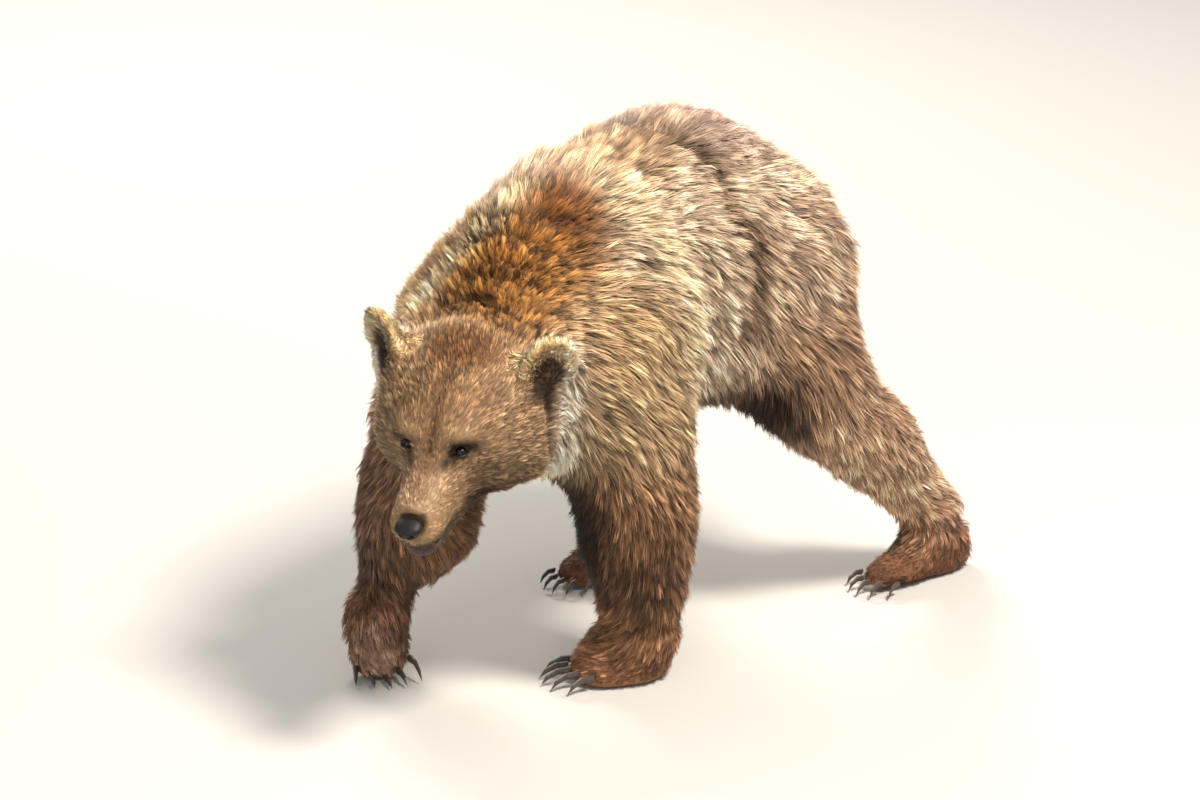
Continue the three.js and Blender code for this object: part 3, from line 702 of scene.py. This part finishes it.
# Hide with short underwool: matt, in the colours of the coat with their painted light and shade. A fine down
# breaks its surface every 3 mm.
DOWN_TUFT = 0.003
hide, tree, shader = new_material("hide_with_underwool", {"Roughness": 0.75, "Specular IOR Level": 0.25})
marks = add_node(tree, "ShaderNodeVertexColor", {"layer_name": "MarkingsAndPaintedLight"})
place = add_node(tree, "ShaderNodeTexCoord").outputs["Object"]
down = add_node(tree, "ShaderNodeTexNoise", inputs={"Vector": place, "Scale": 1 / DOWN_TUFT, "Detail": 3})
add_node(
    tree,
    "ShaderNodeMix",
    {"data_type": "RGBA", "blend_type": "MULTIPLY"},
    {"Factor": 0.35, "A": marks.outputs["Color"], "B": down.outputs["Color"]},
    {"Result": shader.inputs["Base Color"]},
)
add_node(
    tree,
    "ShaderNodeBump",
    inputs={"Height": down.outputs["Fac"], "Strength": 0.5, "Distance": 0.001},
    to={"Normal": shader.inputs["Normal"]},
)
skin.data.materials.clear()
skin.data.materials.append(hide)
skin.data.polygons.foreach_set("material_index", np.zeros(len(skin.data.polygons), np.int32))
select_only(skin)
bpy.ops.object.shade_smooth()
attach(skin, "root")
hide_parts(*FLESH)

# ---------- coat ----------
# Hair over all the skin but the soles, lips and eyelids, rooted in the skin. Fine and stout locks
# of guard hairs lie along the body in layers like thatch and gather in clumps. They are shortest on
# the face and feet.
chance = np.random.default_rng(7)
TUFT_PATCH = 0.003
skin.data.calc_loop_triangles()
triangles = np.empty(len(skin.data.loop_triangles) * 3, int)
skin.data.loop_triangles.foreach_get("vertices", triangles)
triangles = triangles.reshape(-1, 3)

# No tufts on the soles, the eyelids, the nose and the edges of the lips.
SOLE_RISE, PAD_RISE = 0.004, 0.012
BARE_SPOTS = [(EYES[0], 0.0115), (EYES[1], 0.0115), (middle("nose"), 0.014)]
LIP_EDGE_BARE, LOWER_LIP_BARE = 0.005, 0.009
bare = (places[:, 2] < SOLE_RISE) | ((places[:, 2] < PAD_RISE) & (normals[:, 2] < -0.5))
for spot, radius in BARE_SPOTS:
    bare |= np.linalg.norm(places - np.array(spot), axis=1) < radius
bare |= near_line(LIP_LINE, LIP_EDGE_BARE) > 0.4
bare |= from_line(places, [np.array(p) for p in LOWER_LIP]) < LOWER_LIP_BARE

# Where the hair stands up, as the neck's folds spread it: middle, radii and how far it is raised.
RAISED = [
    ((0.390, 0.050, 0.865), (0.130, 0.170, 0.130), 0.68),
    ((0.270, 0.070, 0.940), (0.120, 0.130, 0.090), 0.60),
]
raised = np.zeros(len(places))
for centre, radii, share in RAISED:
    far = np.linalg.norm((places - centre) / radii, axis=1)
    raised = np.maximum(raised, share * (1 - ramp(0.6, 1.2, far)))

# Along the back the hair is a little longer for the coat's depth than elsewhere, and stands up more.
loft = 1 + 0.4 * on_back(places)


def drift(at, size):
    """A smooth wandering value from about -1 to 1, of seven waves that are about `size` long."""
    waves = 7
    ways = unit(chance.normal(size=(waves, 3))) * (2 * math.pi / size) * chance.uniform(0.6, 1.6, (waves, 1))
    return np.sin(at @ ways.T + chance.uniform(0, 2 * math.pi, waves)).sum(1) / math.sqrt(waves)


def on_skin(at):
    """The nearest vertex to each place, and the place's foot on the skin there."""
    near = np.array([skin_tree.find(p)[1] for p in at])
    off = ((at - places[near]) * normals[near]).sum(1)
    return near, at - off[:, None] * normals[near]


UNWRAP_ANGLE, UNWRAP_GAP = math.radians(66), 0.004


def unwrapped(chosen):
    """Where the corners of those triangles of the skin lie on an unwrap of that stretch of skin."""
    corners, numbers = np.unique(triangles[chosen], return_inverse=True)
    mesh = bpy.data.meshes.new("stretch")
    mesh.from_pydata(places[corners].tolist(), [], numbers.reshape(-1, 3).tolist())
    piece = new_object("stretch", mesh)
    in_edit_mode(piece, lambda: bpy.ops.uv.smart_project(angle_limit=UNWRAP_ANGLE, island_margin=UNWRAP_GAP))
    flat = np.empty(len(mesh.loops) * 2)
    mesh.uv_layers.active.data.foreach_get("uv", flat)
    bpy.data.objects.remove(piece)
    bpy.data.meshes.remove(mesh)
    return flat.reshape(-1, 3, 2)


def area_of(chosen):
    a, b, c = (places[triangles[chosen, n]] for n in range(3))
    return np.linalg.norm(np.cross(b - a, c - a), axis=1) / 2


def scattered(chosen, count, closeness):
    """Places spread over those triangles: each one's number among them, its corners and its share of each."""
    area = area_of(chosen) * closeness[triangles[chosen]].mean(1)
    picked = chance.choice(len(chosen), count, p=area / area.sum())
    u, v = chance.random((2, count))
    folded = u + v > 1
    u, v = np.where(folded, 1 - u, u), np.where(folded, 1 - v, v)
    return picked, triangles[chosen[picked]], np.stack([1 - u - v, u, v], 1)


def there(values, spots):
    """The vertices' values at those scattered places."""
    return np.einsum("ij,ij...->i...", spots[2], values[spots[1]])


def turned(way, up, angle):
    return unit(way * np.cos(angle)[:, None] + np.cross(up, way) * np.sin(angle)[:, None])


def coat_at(spots, loose):
    """The coat's depth at those places. An ear's hair is as deep at its root as on its rim."""
    return np.full(len(spots[0]), BODY["ear"][0]) if loose else there(depth, spots)


# How clumps differ: how far their lie turns, in radians, in waves of what length, how their reach and
# height vary, and how their brightness does. A small clump leans to the larger one that it is in, and is
# lower and darker on that one's edge: first its share there, then what it gains further inside. That
# darkening is painted shade in the gaps between clumps.
LIE_TURNS, LIE_WAVE = 0.35, 0.16
CLUMP_REACH, CLUMP_HEIGHT, CLUMP_TONES = (0.8, 1.2), (0.8, 1.1), 0.17
LARGER_LEAN, LARGER_HEIGHT, LARGER_EDGE_SHADE = 0.45, (0.55, 0.48), (0.50, 0.68)
# How wide a clump's edge is, as a share of the clumps' spacing.
CLUMP_EDGE = 0.6


def gathered(chosen, spacing, length, stray, loose, larger=None):
    """Clumps about `spacing` apart. Each has a root, a tip that its hairs lean to, a height and a tone, with
    painted shade on a larger clump's edge.
    """
    spots = scattered(chosen, max(int(area_of(chosen).sum() / spacing**2), 12), np.ones(len(places)))
    root, up = there(places, spots), unit(there(normals, spots))
    count = len(root)
    way = turned(there(lay, spots), up, LIE_TURNS * drift(root, LIE_WAVE) + stray * chance.normal(size=count))
    reach = coat_at(spots, loose) * length * (1 - there(raised, spots)) * chance.uniform(*CLUMP_REACH, count)
    clumps = {
        "tree": tree_of(root),
        "spacing": spacing,
        "way": way,
        "tip": root + way * reach[:, None],
        "high": chance.uniform(*CLUMP_HEIGHT, count),
        "bright": np.exp(CLUMP_TONES * chance.normal(size=count)),
    }
    if larger:
        mine, inside = in_clumps(larger, root)
        clumps["tip"] += LARGER_LEAN * (larger["tip"][mine] - clumps["tip"])
        clumps["high"] *= larger["high"][mine] * (LARGER_HEIGHT[0] + LARGER_HEIGHT[1] * inside)
        # Darker on the larger clump's edge: painted shade in the gap between clumps.
        clumps["bright"] *= larger["bright"][mine] * (LARGER_EDGE_SHADE[0] + LARGER_EDGE_SHADE[1] * inside)
    return clumps


def in_clumps(clumps, root):
    """The clump that each root is in, and how far it is from that clump's edge: 0 on it, 1 well inside."""
    found = [clumps["tree"].find_n(p, 2) for p in root]
    mine = np.array([f[0][1] for f in found])
    gap = np.array([f[1][2] - f[0][2] for f in found])
    return mine, ramp(0, CLUMP_EDGE * clumps["spacing"], gap)


# A fine lock has two corners and a keel at the root, and a tip. A stout one has two corners and a
# keel at its middle too. Each corner: how far along the lock it is, how far to the right and how far
# down. Then its place in the lock's patch, which is TUFT_PATCH across, how bright it is, and the
# faces between the corners. The brightness is painted shade deep in the coat at the root, and the
# hair's own paler tips at the tip.
FINE = {
    "corners": [(0, -1, 0), (0, 1, 0), (0, 0, 1), (1, 0, 0)],
    "patch": [(-0.5, -0.4), (0.5, -0.4), (0, -0.5), (0, 0.5)],
    "shade": [0.36, 0.36, 0.32, 1.22],
    "faces": [(0, 1, 3), (0, 3, 2), (1, 2, 3), (0, 2, 1)],
}
STOUT = {
    "corners": [(0, -1, 0), (0, 1, 0), (0, 0, 1), (0.5, -0.85, 0), (0.5, 0.85, 0), (0.5, 0, 0.8), (1, 0, 0)],
    "patch": [(-0.5, -0.4), (0.5, -0.4), (0, -0.5), (-0.4, 0.1), (0.4, 0.1), (0, 0.1), (0, 0.5)],
    "shade": [0.36, 0.36, 0.32, 0.82, 0.82, 0.68, 1.22],
    "faces": [(0, 1, 4), (0, 4, 3), (3, 4, 6), (0, 3, 5), (0, 5, 2)]
    + [(3, 6, 5), (1, 2, 5), (1, 5, 4), (4, 5, 6), (0, 2, 1)],
}
# How locks differ: in reach, height, width, twist and brightness. They lean to their clump's tip, and are
# lower and darker on its edge, that darkening being painted shade in the gap between clumps. They stand
# closer where the coat is short.
LOCK_REACH, LOCK_HEIGHT, LOCK_WIDTH = (0.7, 1.15), (0.75, 1.1), (0.7, 1.3)
LOCK_TWIST, LOCK_TONES, CLUMP_LEAN = 0.45, 0.16, 0.5
EDGE_HEIGHT, EDGE_SHADE = (0.75, 0.25), (0.54, 0.68)
SHORT_COAT = 0.004
# The middle's height as a share of the tip's, the keel's depth as a share of half the width, how deep the
# roots sit in the skin, and the depth of coat at which a lock has its full width.
MIDDLE_HIGH, KEEL, ROOT_SUNK, FULL_COAT = 0.68, 0.7, 0.002, 0.03
# A lock's normals are mostly the skin's, so that the coat takes light as one soft surface. They turn this
# far to the sides, to the tip and under the keel.
TURN_ASIDE, TURN_AHEAD, TURN_UNDER = 0.7, 0.5, 2.5
# The coat's brightness drifts a little over the body. Where the coat parts, in its creases, its locks lie
# flat and are darkened with painted shade.
TONE_DRIFTS, TONE_WAVE = 0.06, 0.09
PARTING_FLAT, PARTING_SHADE = 0.8, 0.4
# Light comes through the loose hair of the ears: it is shaded less from root to tip, and brighter.
LOOSE_SHADE, LOOSE_BRIGHT = 0.4, 1.8


def locks(kind, chosen, flat, count, width, length, clumps, stand, stray, loose):
    """Corners, normals, colours, patches and faces of that many locks of one kind."""
    spots = scattered(chosen, count, 1 / (depth + SHORT_COAT))
    root, up, deep = there(places, spots), unit(there(normals, spots)), coat_at(spots, loose)
    mine, inside = in_clumps(clumps, root)
    way = unit(there(lay, spots) + clumps["way"][mine])
    way = turned(way, up, stray * chance.normal(size=count))
    reach = deep * length * (1 - there(raised, spots)) * chance.uniform(*LOCK_REACH, count)
    reach *= there(loft, spots) ** 2
    tip = root + way * reach[:, None]
    tip += CLUMP_LEAN * (clumps["tip"][mine] - tip)
    half = root + 0.5 * (tip - root)
    near_tip, foot = on_skin(tip)
    near_half, half = on_skin(half)
    tip = np.where(loose, tip, foot)
    high = deep * stand * clumps["high"][mine] * (EDGE_HEIGHT[0] + EDGE_HEIGHT[1] * inside)
    high = high * chance.uniform(*LOCK_HEIGHT, count) * there(loft, spots)
    tip = tip + np.where(loose, up, normals[near_tip]) * (high * (1 - parting[near_tip]))[:, None]
    half += normals[near_half] * (MIDDLE_HIGH * high * (1 - PARTING_FLAT * parting[near_half]))[:, None]

    along = unit(tip - root)
    right = turned(unit(np.cross(along, up)), along, LOCK_TWIST * chance.normal(size=count))
    top = np.cross(right, along)
    wide = width * chance.uniform(*LOCK_WIDTH, count) * np.sqrt(deep / FULL_COAT) / 2
    root = root - up * ROOT_SUNK
    corners, facing = [], []
    for ahead, sideways, down in kind["corners"]:
        on_axis = {0: root, 0.5: half, 1: tip}[ahead]
        corners.append(on_axis + (sideways * right - KEEL * down * top) * wide[:, None])
        aside, under = (TURN_ASIDE * sideways) * right, TURN_UNDER * down * top
        facing.append(unit(up + top + aside + TURN_AHEAD * ahead * along - under))
    corners = np.stack(corners, 1)
    corners[:, :, 2] = np.maximum(corners[:, :, 2], OFF_FLOOR)

    # Each lock is darkened toward its root with painted shade deep in the coat.
    shade = np.array(kind["shade"]) ** (LOOSE_SHADE if loose else 1)
    share = np.array(kind["corners"])[:, :1]
    colour = there(tone, spots)[:, None] * (1 - share) + tone[near_tip][:, None] * share
    # The clumps' random tones, darkened on the clumps' edges with painted shade.
    bright = clumps["bright"][mine] * (EDGE_SHADE[0] + EDGE_SHADE[1] * inside)
    bright = bright * np.exp(LOCK_TONES * chance.normal(size=count))
    bright *= 1 + TONE_DRIFTS * drift(root, TONE_WAVE)
    colour *= (LOOSE_BRIGHT if loose else 1) * bright[:, None, None] * shade[None, :, None]
    # Painted shade in the creases where the coat parts.
    colour *= 1 - PARTING_SHADE * parting[near_tip][:, None, None]
    at = np.einsum("ij,ijk->ik", spots[2], flat[spots[0]])
    patch = at[:, None] + TUFT_PATCH * np.array(kind["patch"])
    faces = np.arange(count)[:, None, None] * len(shade) + np.array(kind["faces"])
    return [part.reshape(-1, part.shape[-1]) for part in (corners, np.stack(facing, 1), colour, patch, faces)]


# A small clump's width as a share of a large one's, and how much wider, longer and less stray the stout locks
# are than the fine ones.
SMALL_CLUMP = 0.4
STOUT_WIDE, STOUT_LONG, STOUT_STRAY = 1.6, 1.15, 0.6


def grow(name, on, fine, stout, width, length, clump, stand=1.0, stray=0.15, loose=False, slot="coat"):
    """A coat piece over the vertices `on`, of that many fine and stout locks. The width of a lock and of a
    clump is in metres, and a lock's length is in times the coat's depth."""
    chosen = np.flatnonzero(on[triangles[:, 0]] & ~bare[triangles].any(1))
    flat = unwrapped(chosen)
    large = gathered(chosen, clump, length, stray, loose)
    small = gathered(chosen, SMALL_CLUMP * clump, length, stray, loose, large)
    kinds = [locks(FINE, chosen, flat, fine, width, length, small, stand, stray, loose)]
    if stout:
        wide, long = STOUT_WIDE * width, STOUT_LONG * length
        kinds.append(locks(STOUT, chosen, flat, stout, wide, long, small, stand, STOUT_STRAY * stray, loose))
        kinds[1][-1] += len(kinds[0][0])
    corners, facing, colour, patch, faces = (np.concatenate(parts) for parts in zip(*kinds))
    mesh = bpy.data.meshes.new(name)
    mesh.vertices.add(len(corners))
    mesh.vertices.foreach_set("co", corners.ravel())
    mesh.loops.add(faces.size)
    mesh.loops.foreach_set("vertex_index", faces.ravel().astype(np.int32))
    mesh.polygons.add(len(faces))
    mesh.polygons.foreach_set("loop_start", np.arange(0, faces.size, 3, dtype=np.int32))
    mesh.polygons.foreach_set("use_smooth", np.ones(len(faces), bool))
    mesh.update(calc_edges=True)
    paint(mesh, "MarkingsAndPaintedLight", np.clip(colour, 0.002, 0.95))
    layer = mesh.uv_layers.new(name="OFBake")
    layer.data.foreach_set("uv", patch[faces.ravel()].ravel())
    mesh.normals_split_custom_set_from_vertices(facing)
    piece = new_object(name, mesh)
    mesh.materials.append(hair)
    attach(piece, "root")


# Guard hair: keratin fibres in locks, matt from afar, with a broad soft sheen along the pale tips.
sheen = {"Sheen Weight": 0.06, "Sheen Roughness": 0.5}
hair_look = {"Roughness": 0.6, "IOR": 1.55, "Specular IOR Level": 0.15, **sheen}
hair, tree, shader = new_material("guard_hair", hair_look)
to_colour = {"Color": shader.inputs["Base Color"]}
add_node(tree, "ShaderNodeVertexColor", {"layer_name": "MarkingsAndPaintedLight"}, to=to_colour)


def covers(*words):
    """The vertices whose nearest solid has one of those words in its name."""
    return np.isin(part, of_solids(*words))


on_face = covers("head", "jaw") & (in_head(places)[:, 0] > FACE_BEGINS)
left = places[:, 1] > 0
grow("coat_face", on_face, fine=45000, stout=0, width=0.0021, length=1.9, clump=0.008, stand=0.85)
on_head = covers("head", "jaw") & ~on_face
grow("coat_head", on_head, fine=46000, stout=600, width=0.0023, length=1.05, clump=0.009, stand=0.95)
EAR_LOCKS = {"width": 0.0044, "length": 3.0, "clump": 0.009, "stand": 1.7, "stray": 0.25, "loose": True}
grow("coat_ears", covers("ear"), fine=14000, stout=500, **EAR_LOCKS)
grow("coat_neck", covers("neck"), fine=44000, stout=600, width=0.0025, length=1.4, clump=0.016, stray=0.2)
FLANK_LOCKS = {"stout": 700, "width": 0.0026, "length": 1.35, "clump": 0.025, "stray": 0.17}
grow("coat_flank_left", (covers("trunk") & left) | covers("tail"), fine=46500, **FLANK_LOCKS)
grow("coat_flank_right", covers("trunk") & ~left, fine=45500, **FLANK_LOCKS)
LEG_LOCKS = {"stout": 600, "width": 0.0026, "length": 1.45, "clump": 0.020, "slot": "leg_coat"}
for side in ("left", "right"):
    foreleg = covers(f"foreleg_{side}", f"forepaw_{side}")
    hindleg = covers(f"thigh_{side}", f"shank_{side}", f"hindfoot_{side}")
    grow(f"coat_foreleg_{side}", foreleg, fine=32000, **LEG_LOCKS)
    grow(f"coat_hindleg_{side}", hindleg, fine=32500, **LEG_LOCKS)

# ---------- nose ----------
# The bare pad at the muzzle's tip: thick moist skin, nearly black, on soft gristle. Two nostrils open
# forward and run out into slits at the sides, and a groove parts the pad below them.
NOSE_RADII = (0.0200, 0.0258, 0.0152)
NOSE_MOVED = Vector((0.0015, 0, -0.0052))
# How boxy it is lengthways, sideways and upwards, where 1 would be round, how much narrower it gets below,
# and how steeply its top falls to the front.
BOXY = np.array([0.78, 0.85, 0.72])
NARROWER, TOP_FALLS = 0.26, 0.16
# Middle, radii and depth of the left nostril's hole and slit. Then the groove: half its width, how deep it
# is, and between which heights it deepens.
NOSTRIL = (0.020, 0.0115, -0.003), (0.012, 0.0046, 0.0036), 0.011
SLIT = (0.014, 0.020, -0.003), (0.010, 0.006, 0.003), 0.004
GROOVE_HALF, GROOVE_DEEP, GROOVE_RUNS = 0.002, 0.003, (0.004, -0.008)


def dent(shape, side, centre, radii, deep):
    """How far a round dent on that side presses each place in."""
    offset = (shape - np.array(centre) * (1, side, 1)) / radii
    return deep * np.exp(-(offset**2).sum(1))


bpy.ops.mesh.primitive_uv_sphere_add(segments=72, ring_count=48, radius=1)
nose = bpy.context.object
nose.name = "nose_pad"
shape = read_places(nose.data)[:, [2, 0, 1]]
shape = np.sign(shape) * np.abs(shape) ** BOXY
shape[:, 1] *= 1 - NARROWER + NARROWER * ramp(-0.9, 0.3, shape[:, 2])
shape[:, 2] -= TOP_FALLS * shape[:, 0] * (shape[:, 2] > -0.2)
shape *= NOSE_RADII
for s in (1, -1):
    shape[:, 0] -= dent(shape, s, *NOSTRIL)
    shape[:, 1] -= s * dent(shape, s, *SLIT)
groove = np.exp(-((shape[:, 1] / GROOVE_HALF) ** 2)) * ramp(*GROOVE_RUNS, shape[:, 2]) * (shape[:, 0] > 0)
shape[:, 0] -= GROOVE_DEEP * groove
nose_middle = np.array(middle("nose") + head_axes @ NOSE_MOVED)
write_places(nose.data, nose_middle + shape @ np.array(head_axes).T)
in_edit_mode(nose, lambda: bpy.ops.mesh.normals_make_consistent(inside=False))
bpy.ops.object.shade_smooth()


def clouded(name, look, dark, light, cloud, detail, strength, rise, grain=None):
    """A material whose colour runs between two in clouds of about that size. Its surface rises with them,
    or in cells where a grain is given, by up to `rise` at full strength."""
    material, tree, shader = new_material(name, look)
    place = add_node(tree, "ShaderNodeTexCoord").outputs["Object"]
    pattern = {"Vector": place, "Scale": 1 / cloud, "Detail": detail}
    height = add_node(tree, "ShaderNodeTexNoise", inputs=pattern).outputs["Fac"]
    to_colour = {"Color": shader.inputs["Base Color"]}
    shades = add_node(tree, "ShaderNodeValToRGB", inputs={"Fac": height}, to=to_colour)
    for end, colour in zip(shades.color_ramp.elements, (dark, light)):
        end.color = (*linear(colour), 1)
    if grain:
        pattern = {"Vector": place, "Scale": 1 / grain}
        height = add_node(tree, "ShaderNodeTexVoronoi", inputs=pattern).outputs["Distance"]
    bump = {"Height": height, "Strength": strength, "Distance": rise}
    add_node(tree, "ShaderNodeBump", inputs=bump, to={"Normal": shader.inputs["Normal"]})
    return material


# Nose leather: moist skin in grains of about 1.5 mm, so it is dark with a broad cool gloss on top.
leather = clouded(
    "moist_nose_leather",
    {"Roughness": 0.5, "Specular IOR Level": 0.4, "IOR": 1.42},
    "#0d0c0d",
    "#1d1b1c",
    cloud=0.012,
    detail=2,
    strength=0.35,
    rise=0.0006,
    grain=0.0015,
)
nose.data.materials.append(leather)
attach(nose, "root")
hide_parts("nose")

# ---------- lower lip ----------
# The bare edge of the lower lip, a soft violet roll of skin on the jaw. It shows below the upper lip at the
# front and thins out to its two corners, inside the cheeks.

# The ring that the roll follows: its radii ahead and aside, the scale of the roll's height, and its middle in
# the head's axes.
LIP_RADII = (0.056, 0.040, 0.048)
LIP_MIDDLE = (0.262, 0.002, -0.198)
# How thick the roll is for its ring, how much of that is left at the corners, and how steeply it
# rises to them.
LIP_ROLL, CORNER_GIRTH, LIP_RISES = 0.15, 0.05, 0.43
bpy.ops.mesh.primitive_torus_add(major_segments=64, minor_segments=16, major_radius=1, minor_radius=LIP_ROLL)
lip_roll = bpy.context.object
lip_roll.name = "lower_lip"
shape = read_places(lip_roll.data)
girth = CORNER_GIRTH + (1 - CORNER_GIRTH) * ramp(0.5, 0.95, shape[:, 0])
ring = shape / np.hypot(shape[:, 0], shape[:, 1])[:, None] * (1, 1, 0)
shape = (ring + girth[:, None] * (shape - ring)) * LIP_RADII
shape[:, 2] -= LIP_RISES * (shape[:, 0] - LIP_RADII[0])
write_places(lip_roll.data, np.array(from_head(*LIP_MIDDLE)) + shape @ np.array(head_axes).T)
select_only(lip_roll)
bpy.ops.object.shade_smooth()
# Lip skin: smooth and moist, dull violet brown, glossier than the hide.
lip_clouds = {"cloud": 0.006, "detail": 4, "strength": 0.3, "rise": 0.0006}
lip_skin = clouded("lip_skin", {"Roughness": 0.4}, "#21171c", "#46353f", **lip_clouds)
lip_roll.data.materials.append(lip_skin)
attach(lip_roll, "root")

# ---------- eyes ----------
# Small dark eyes: a wet ball with a brown iris and a black round pupil, sunk in its socket. Two lids close
# over it in one roll of dark skin, and the upper one overhangs.
EYE_RADIUS, EYE_SUNK = 0.0100, 0.0082
# The way the left eye looks, in the head's axes, and how far its clear cornea stands out.
LOOK = Vector((0.86, 0.42, 0.06))
CORNEA_OUT = 0.0012
RIM_COLOUR, IRIS_COLOUR, PUPIL_COLOUR = "#140e0a", "#1c1009", "#020202"
# The lids' opening: half its width and height, how far it lies below the ball's middle, and how much lower
# it is at the corners, as an almond is.
OPENING_WIDE, OPENING_HIGH, OPENING_DOWN, ALMOND = 0.0116, 0.0032, 0.0018, 0.25
# The lids' roll: how thick it is for its opening, how thick outwards, how far it clears the ball, and how
# far the upper lid overhangs.
LID_ROLL, LID_THICK, LID_CLEARS, OVERHANG = 0.36, 0.0040, 0.0004, 0.0040
# Wet eye: a clear cornea over a dark iris, so it is nearly black with one small soft highlight.
eye_wet, tree, shader = new_material("wet_dark_eye", {"Roughness": 0.22, "IOR": 1.376})
to_colour = {"Color": shader.inputs["Base Color"]}
add_node(tree, "ShaderNodeVertexColor", {"layer_name": "Iris"}, to=to_colour)
# Eyelid skin: bare, brown black and finely creased, half matt.
lid_clouds = {"cloud": 0.004, "detail": 4, "strength": 0.5, "rise": 0.0008}
eyelid_skin = clouded("eyelid_skin", {"Roughness": 0.5}, "#0f0b0a", "#241a16", **lid_clouds)

for side, s in (("left", 1), ("right", -1)):
    look = head_axes @ Vector((LOOK.x, s * LOOK.y, LOOK.z)).normalized()
    eye_axes = np.array(look.to_track_quat("Z", "Y").to_matrix())
    eye_middle = np.array(middle("eye_" + side) + EYE_ASIDE) - EYE_SUNK * np.array(look)
    bpy.ops.mesh.primitive_uv_sphere_add(segments=48, ring_count=32, radius=EYE_RADIUS)
    ball = bpy.context.object
    ball.name = "eyeball_" + side
    shape = read_places(ball.data)
    out = shape[:, 2] / EYE_RADIUS
    shape[:, 2] += CORNEA_OUT * ramp(0.75, 1.0, out)
    pupil, iris = ramp(0.93, 0.95, out), ramp(0.72, 0.78, out)
    rim, brown, black = (np.array(linear(c)) for c in (RIM_COLOUR, IRIS_COLOUR, PUPIL_COLOUR))
    colour = rim + iris[:, None] * (brown - rim)
    colour = colour + pupil[:, None] * (black - colour)
    paint(ball.data, "Iris", colour)
    write_places(ball.data, eye_middle + shape @ eye_axes.T)
    select_only(ball)
    bpy.ops.object.shade_smooth()
    ball.data.materials.append(eye_wet)
    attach(ball, "root")
    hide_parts("eye_" + side)

    # The lids' outer edge is drawn back into the socket.
    bpy.ops.mesh.primitive_torus_add(
        major_segments=64, minor_segments=20, major_radius=1, minor_radius=LID_ROLL
    )
    lids = bpy.context.object
    lids.name = "eyelids_" + side
    shape = read_places(lids.data)
    flat_axis = np.array(head_axes.transposed() @ look)
    across_eye = np.cross((0, 0, 1), flat_axis)
    across_eye /= np.linalg.norm(across_eye)
    above_eye = np.cross(flat_axis, across_eye)
    x, y, z = shape.T
    reach = np.hypot(x, y)
    almond_x = OPENING_WIDE * x
    almond_y = OPENING_HIGH * y * (1 - ALMOND * x * x) - OPENING_DOWN
    ball_front = np.sqrt(np.maximum((EYE_RADIUS + LID_CLEARS) ** 2 - almond_x**2 - almond_y**2, 0))
    almond_z = np.where(reach > 1 + LID_ROLL, 0, ball_front) + LID_THICK * z + OVERHANG * ramp(0, 0.6, y)
    shape = almond_x[:, None] * across_eye + almond_y[:, None] * above_eye + almond_z[:, None] * flat_axis
    write_places(lids.data, eye_middle + shape @ np.array(head_axes).T)
    in_edit_mode(lids, lambda: bpy.ops.mesh.normals_make_consistent(inside=False))
    bpy.ops.object.shade_smooth()
    lids.data.materials.append(eyelid_skin)
    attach(lids, "root")

# ---------- claws ----------
# Five to a foot, each a solid curved sheath of horn that grows from the toe. A bear can't draw them in, so
# they stand out of the fur of the foot. Their shapes are the solids' own.

# Claw horn: hard keratin grown in layers, dark brown with paler clouds every 6 mm, half glossy by wear.
horn_clouds = {"cloud": 0.006, "detail": 5, "strength": 0.3, "rise": 0.0006}
horn = clouded("claw_horn", {"Roughness": 0.42, "IOR": 1.54}, "#272019", "#5b4f44", **horn_clouds)
for node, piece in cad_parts.items():
    if node.startswith("claw"):
        piece.data.materials.clear()
        piece.data.materials.append(horn)
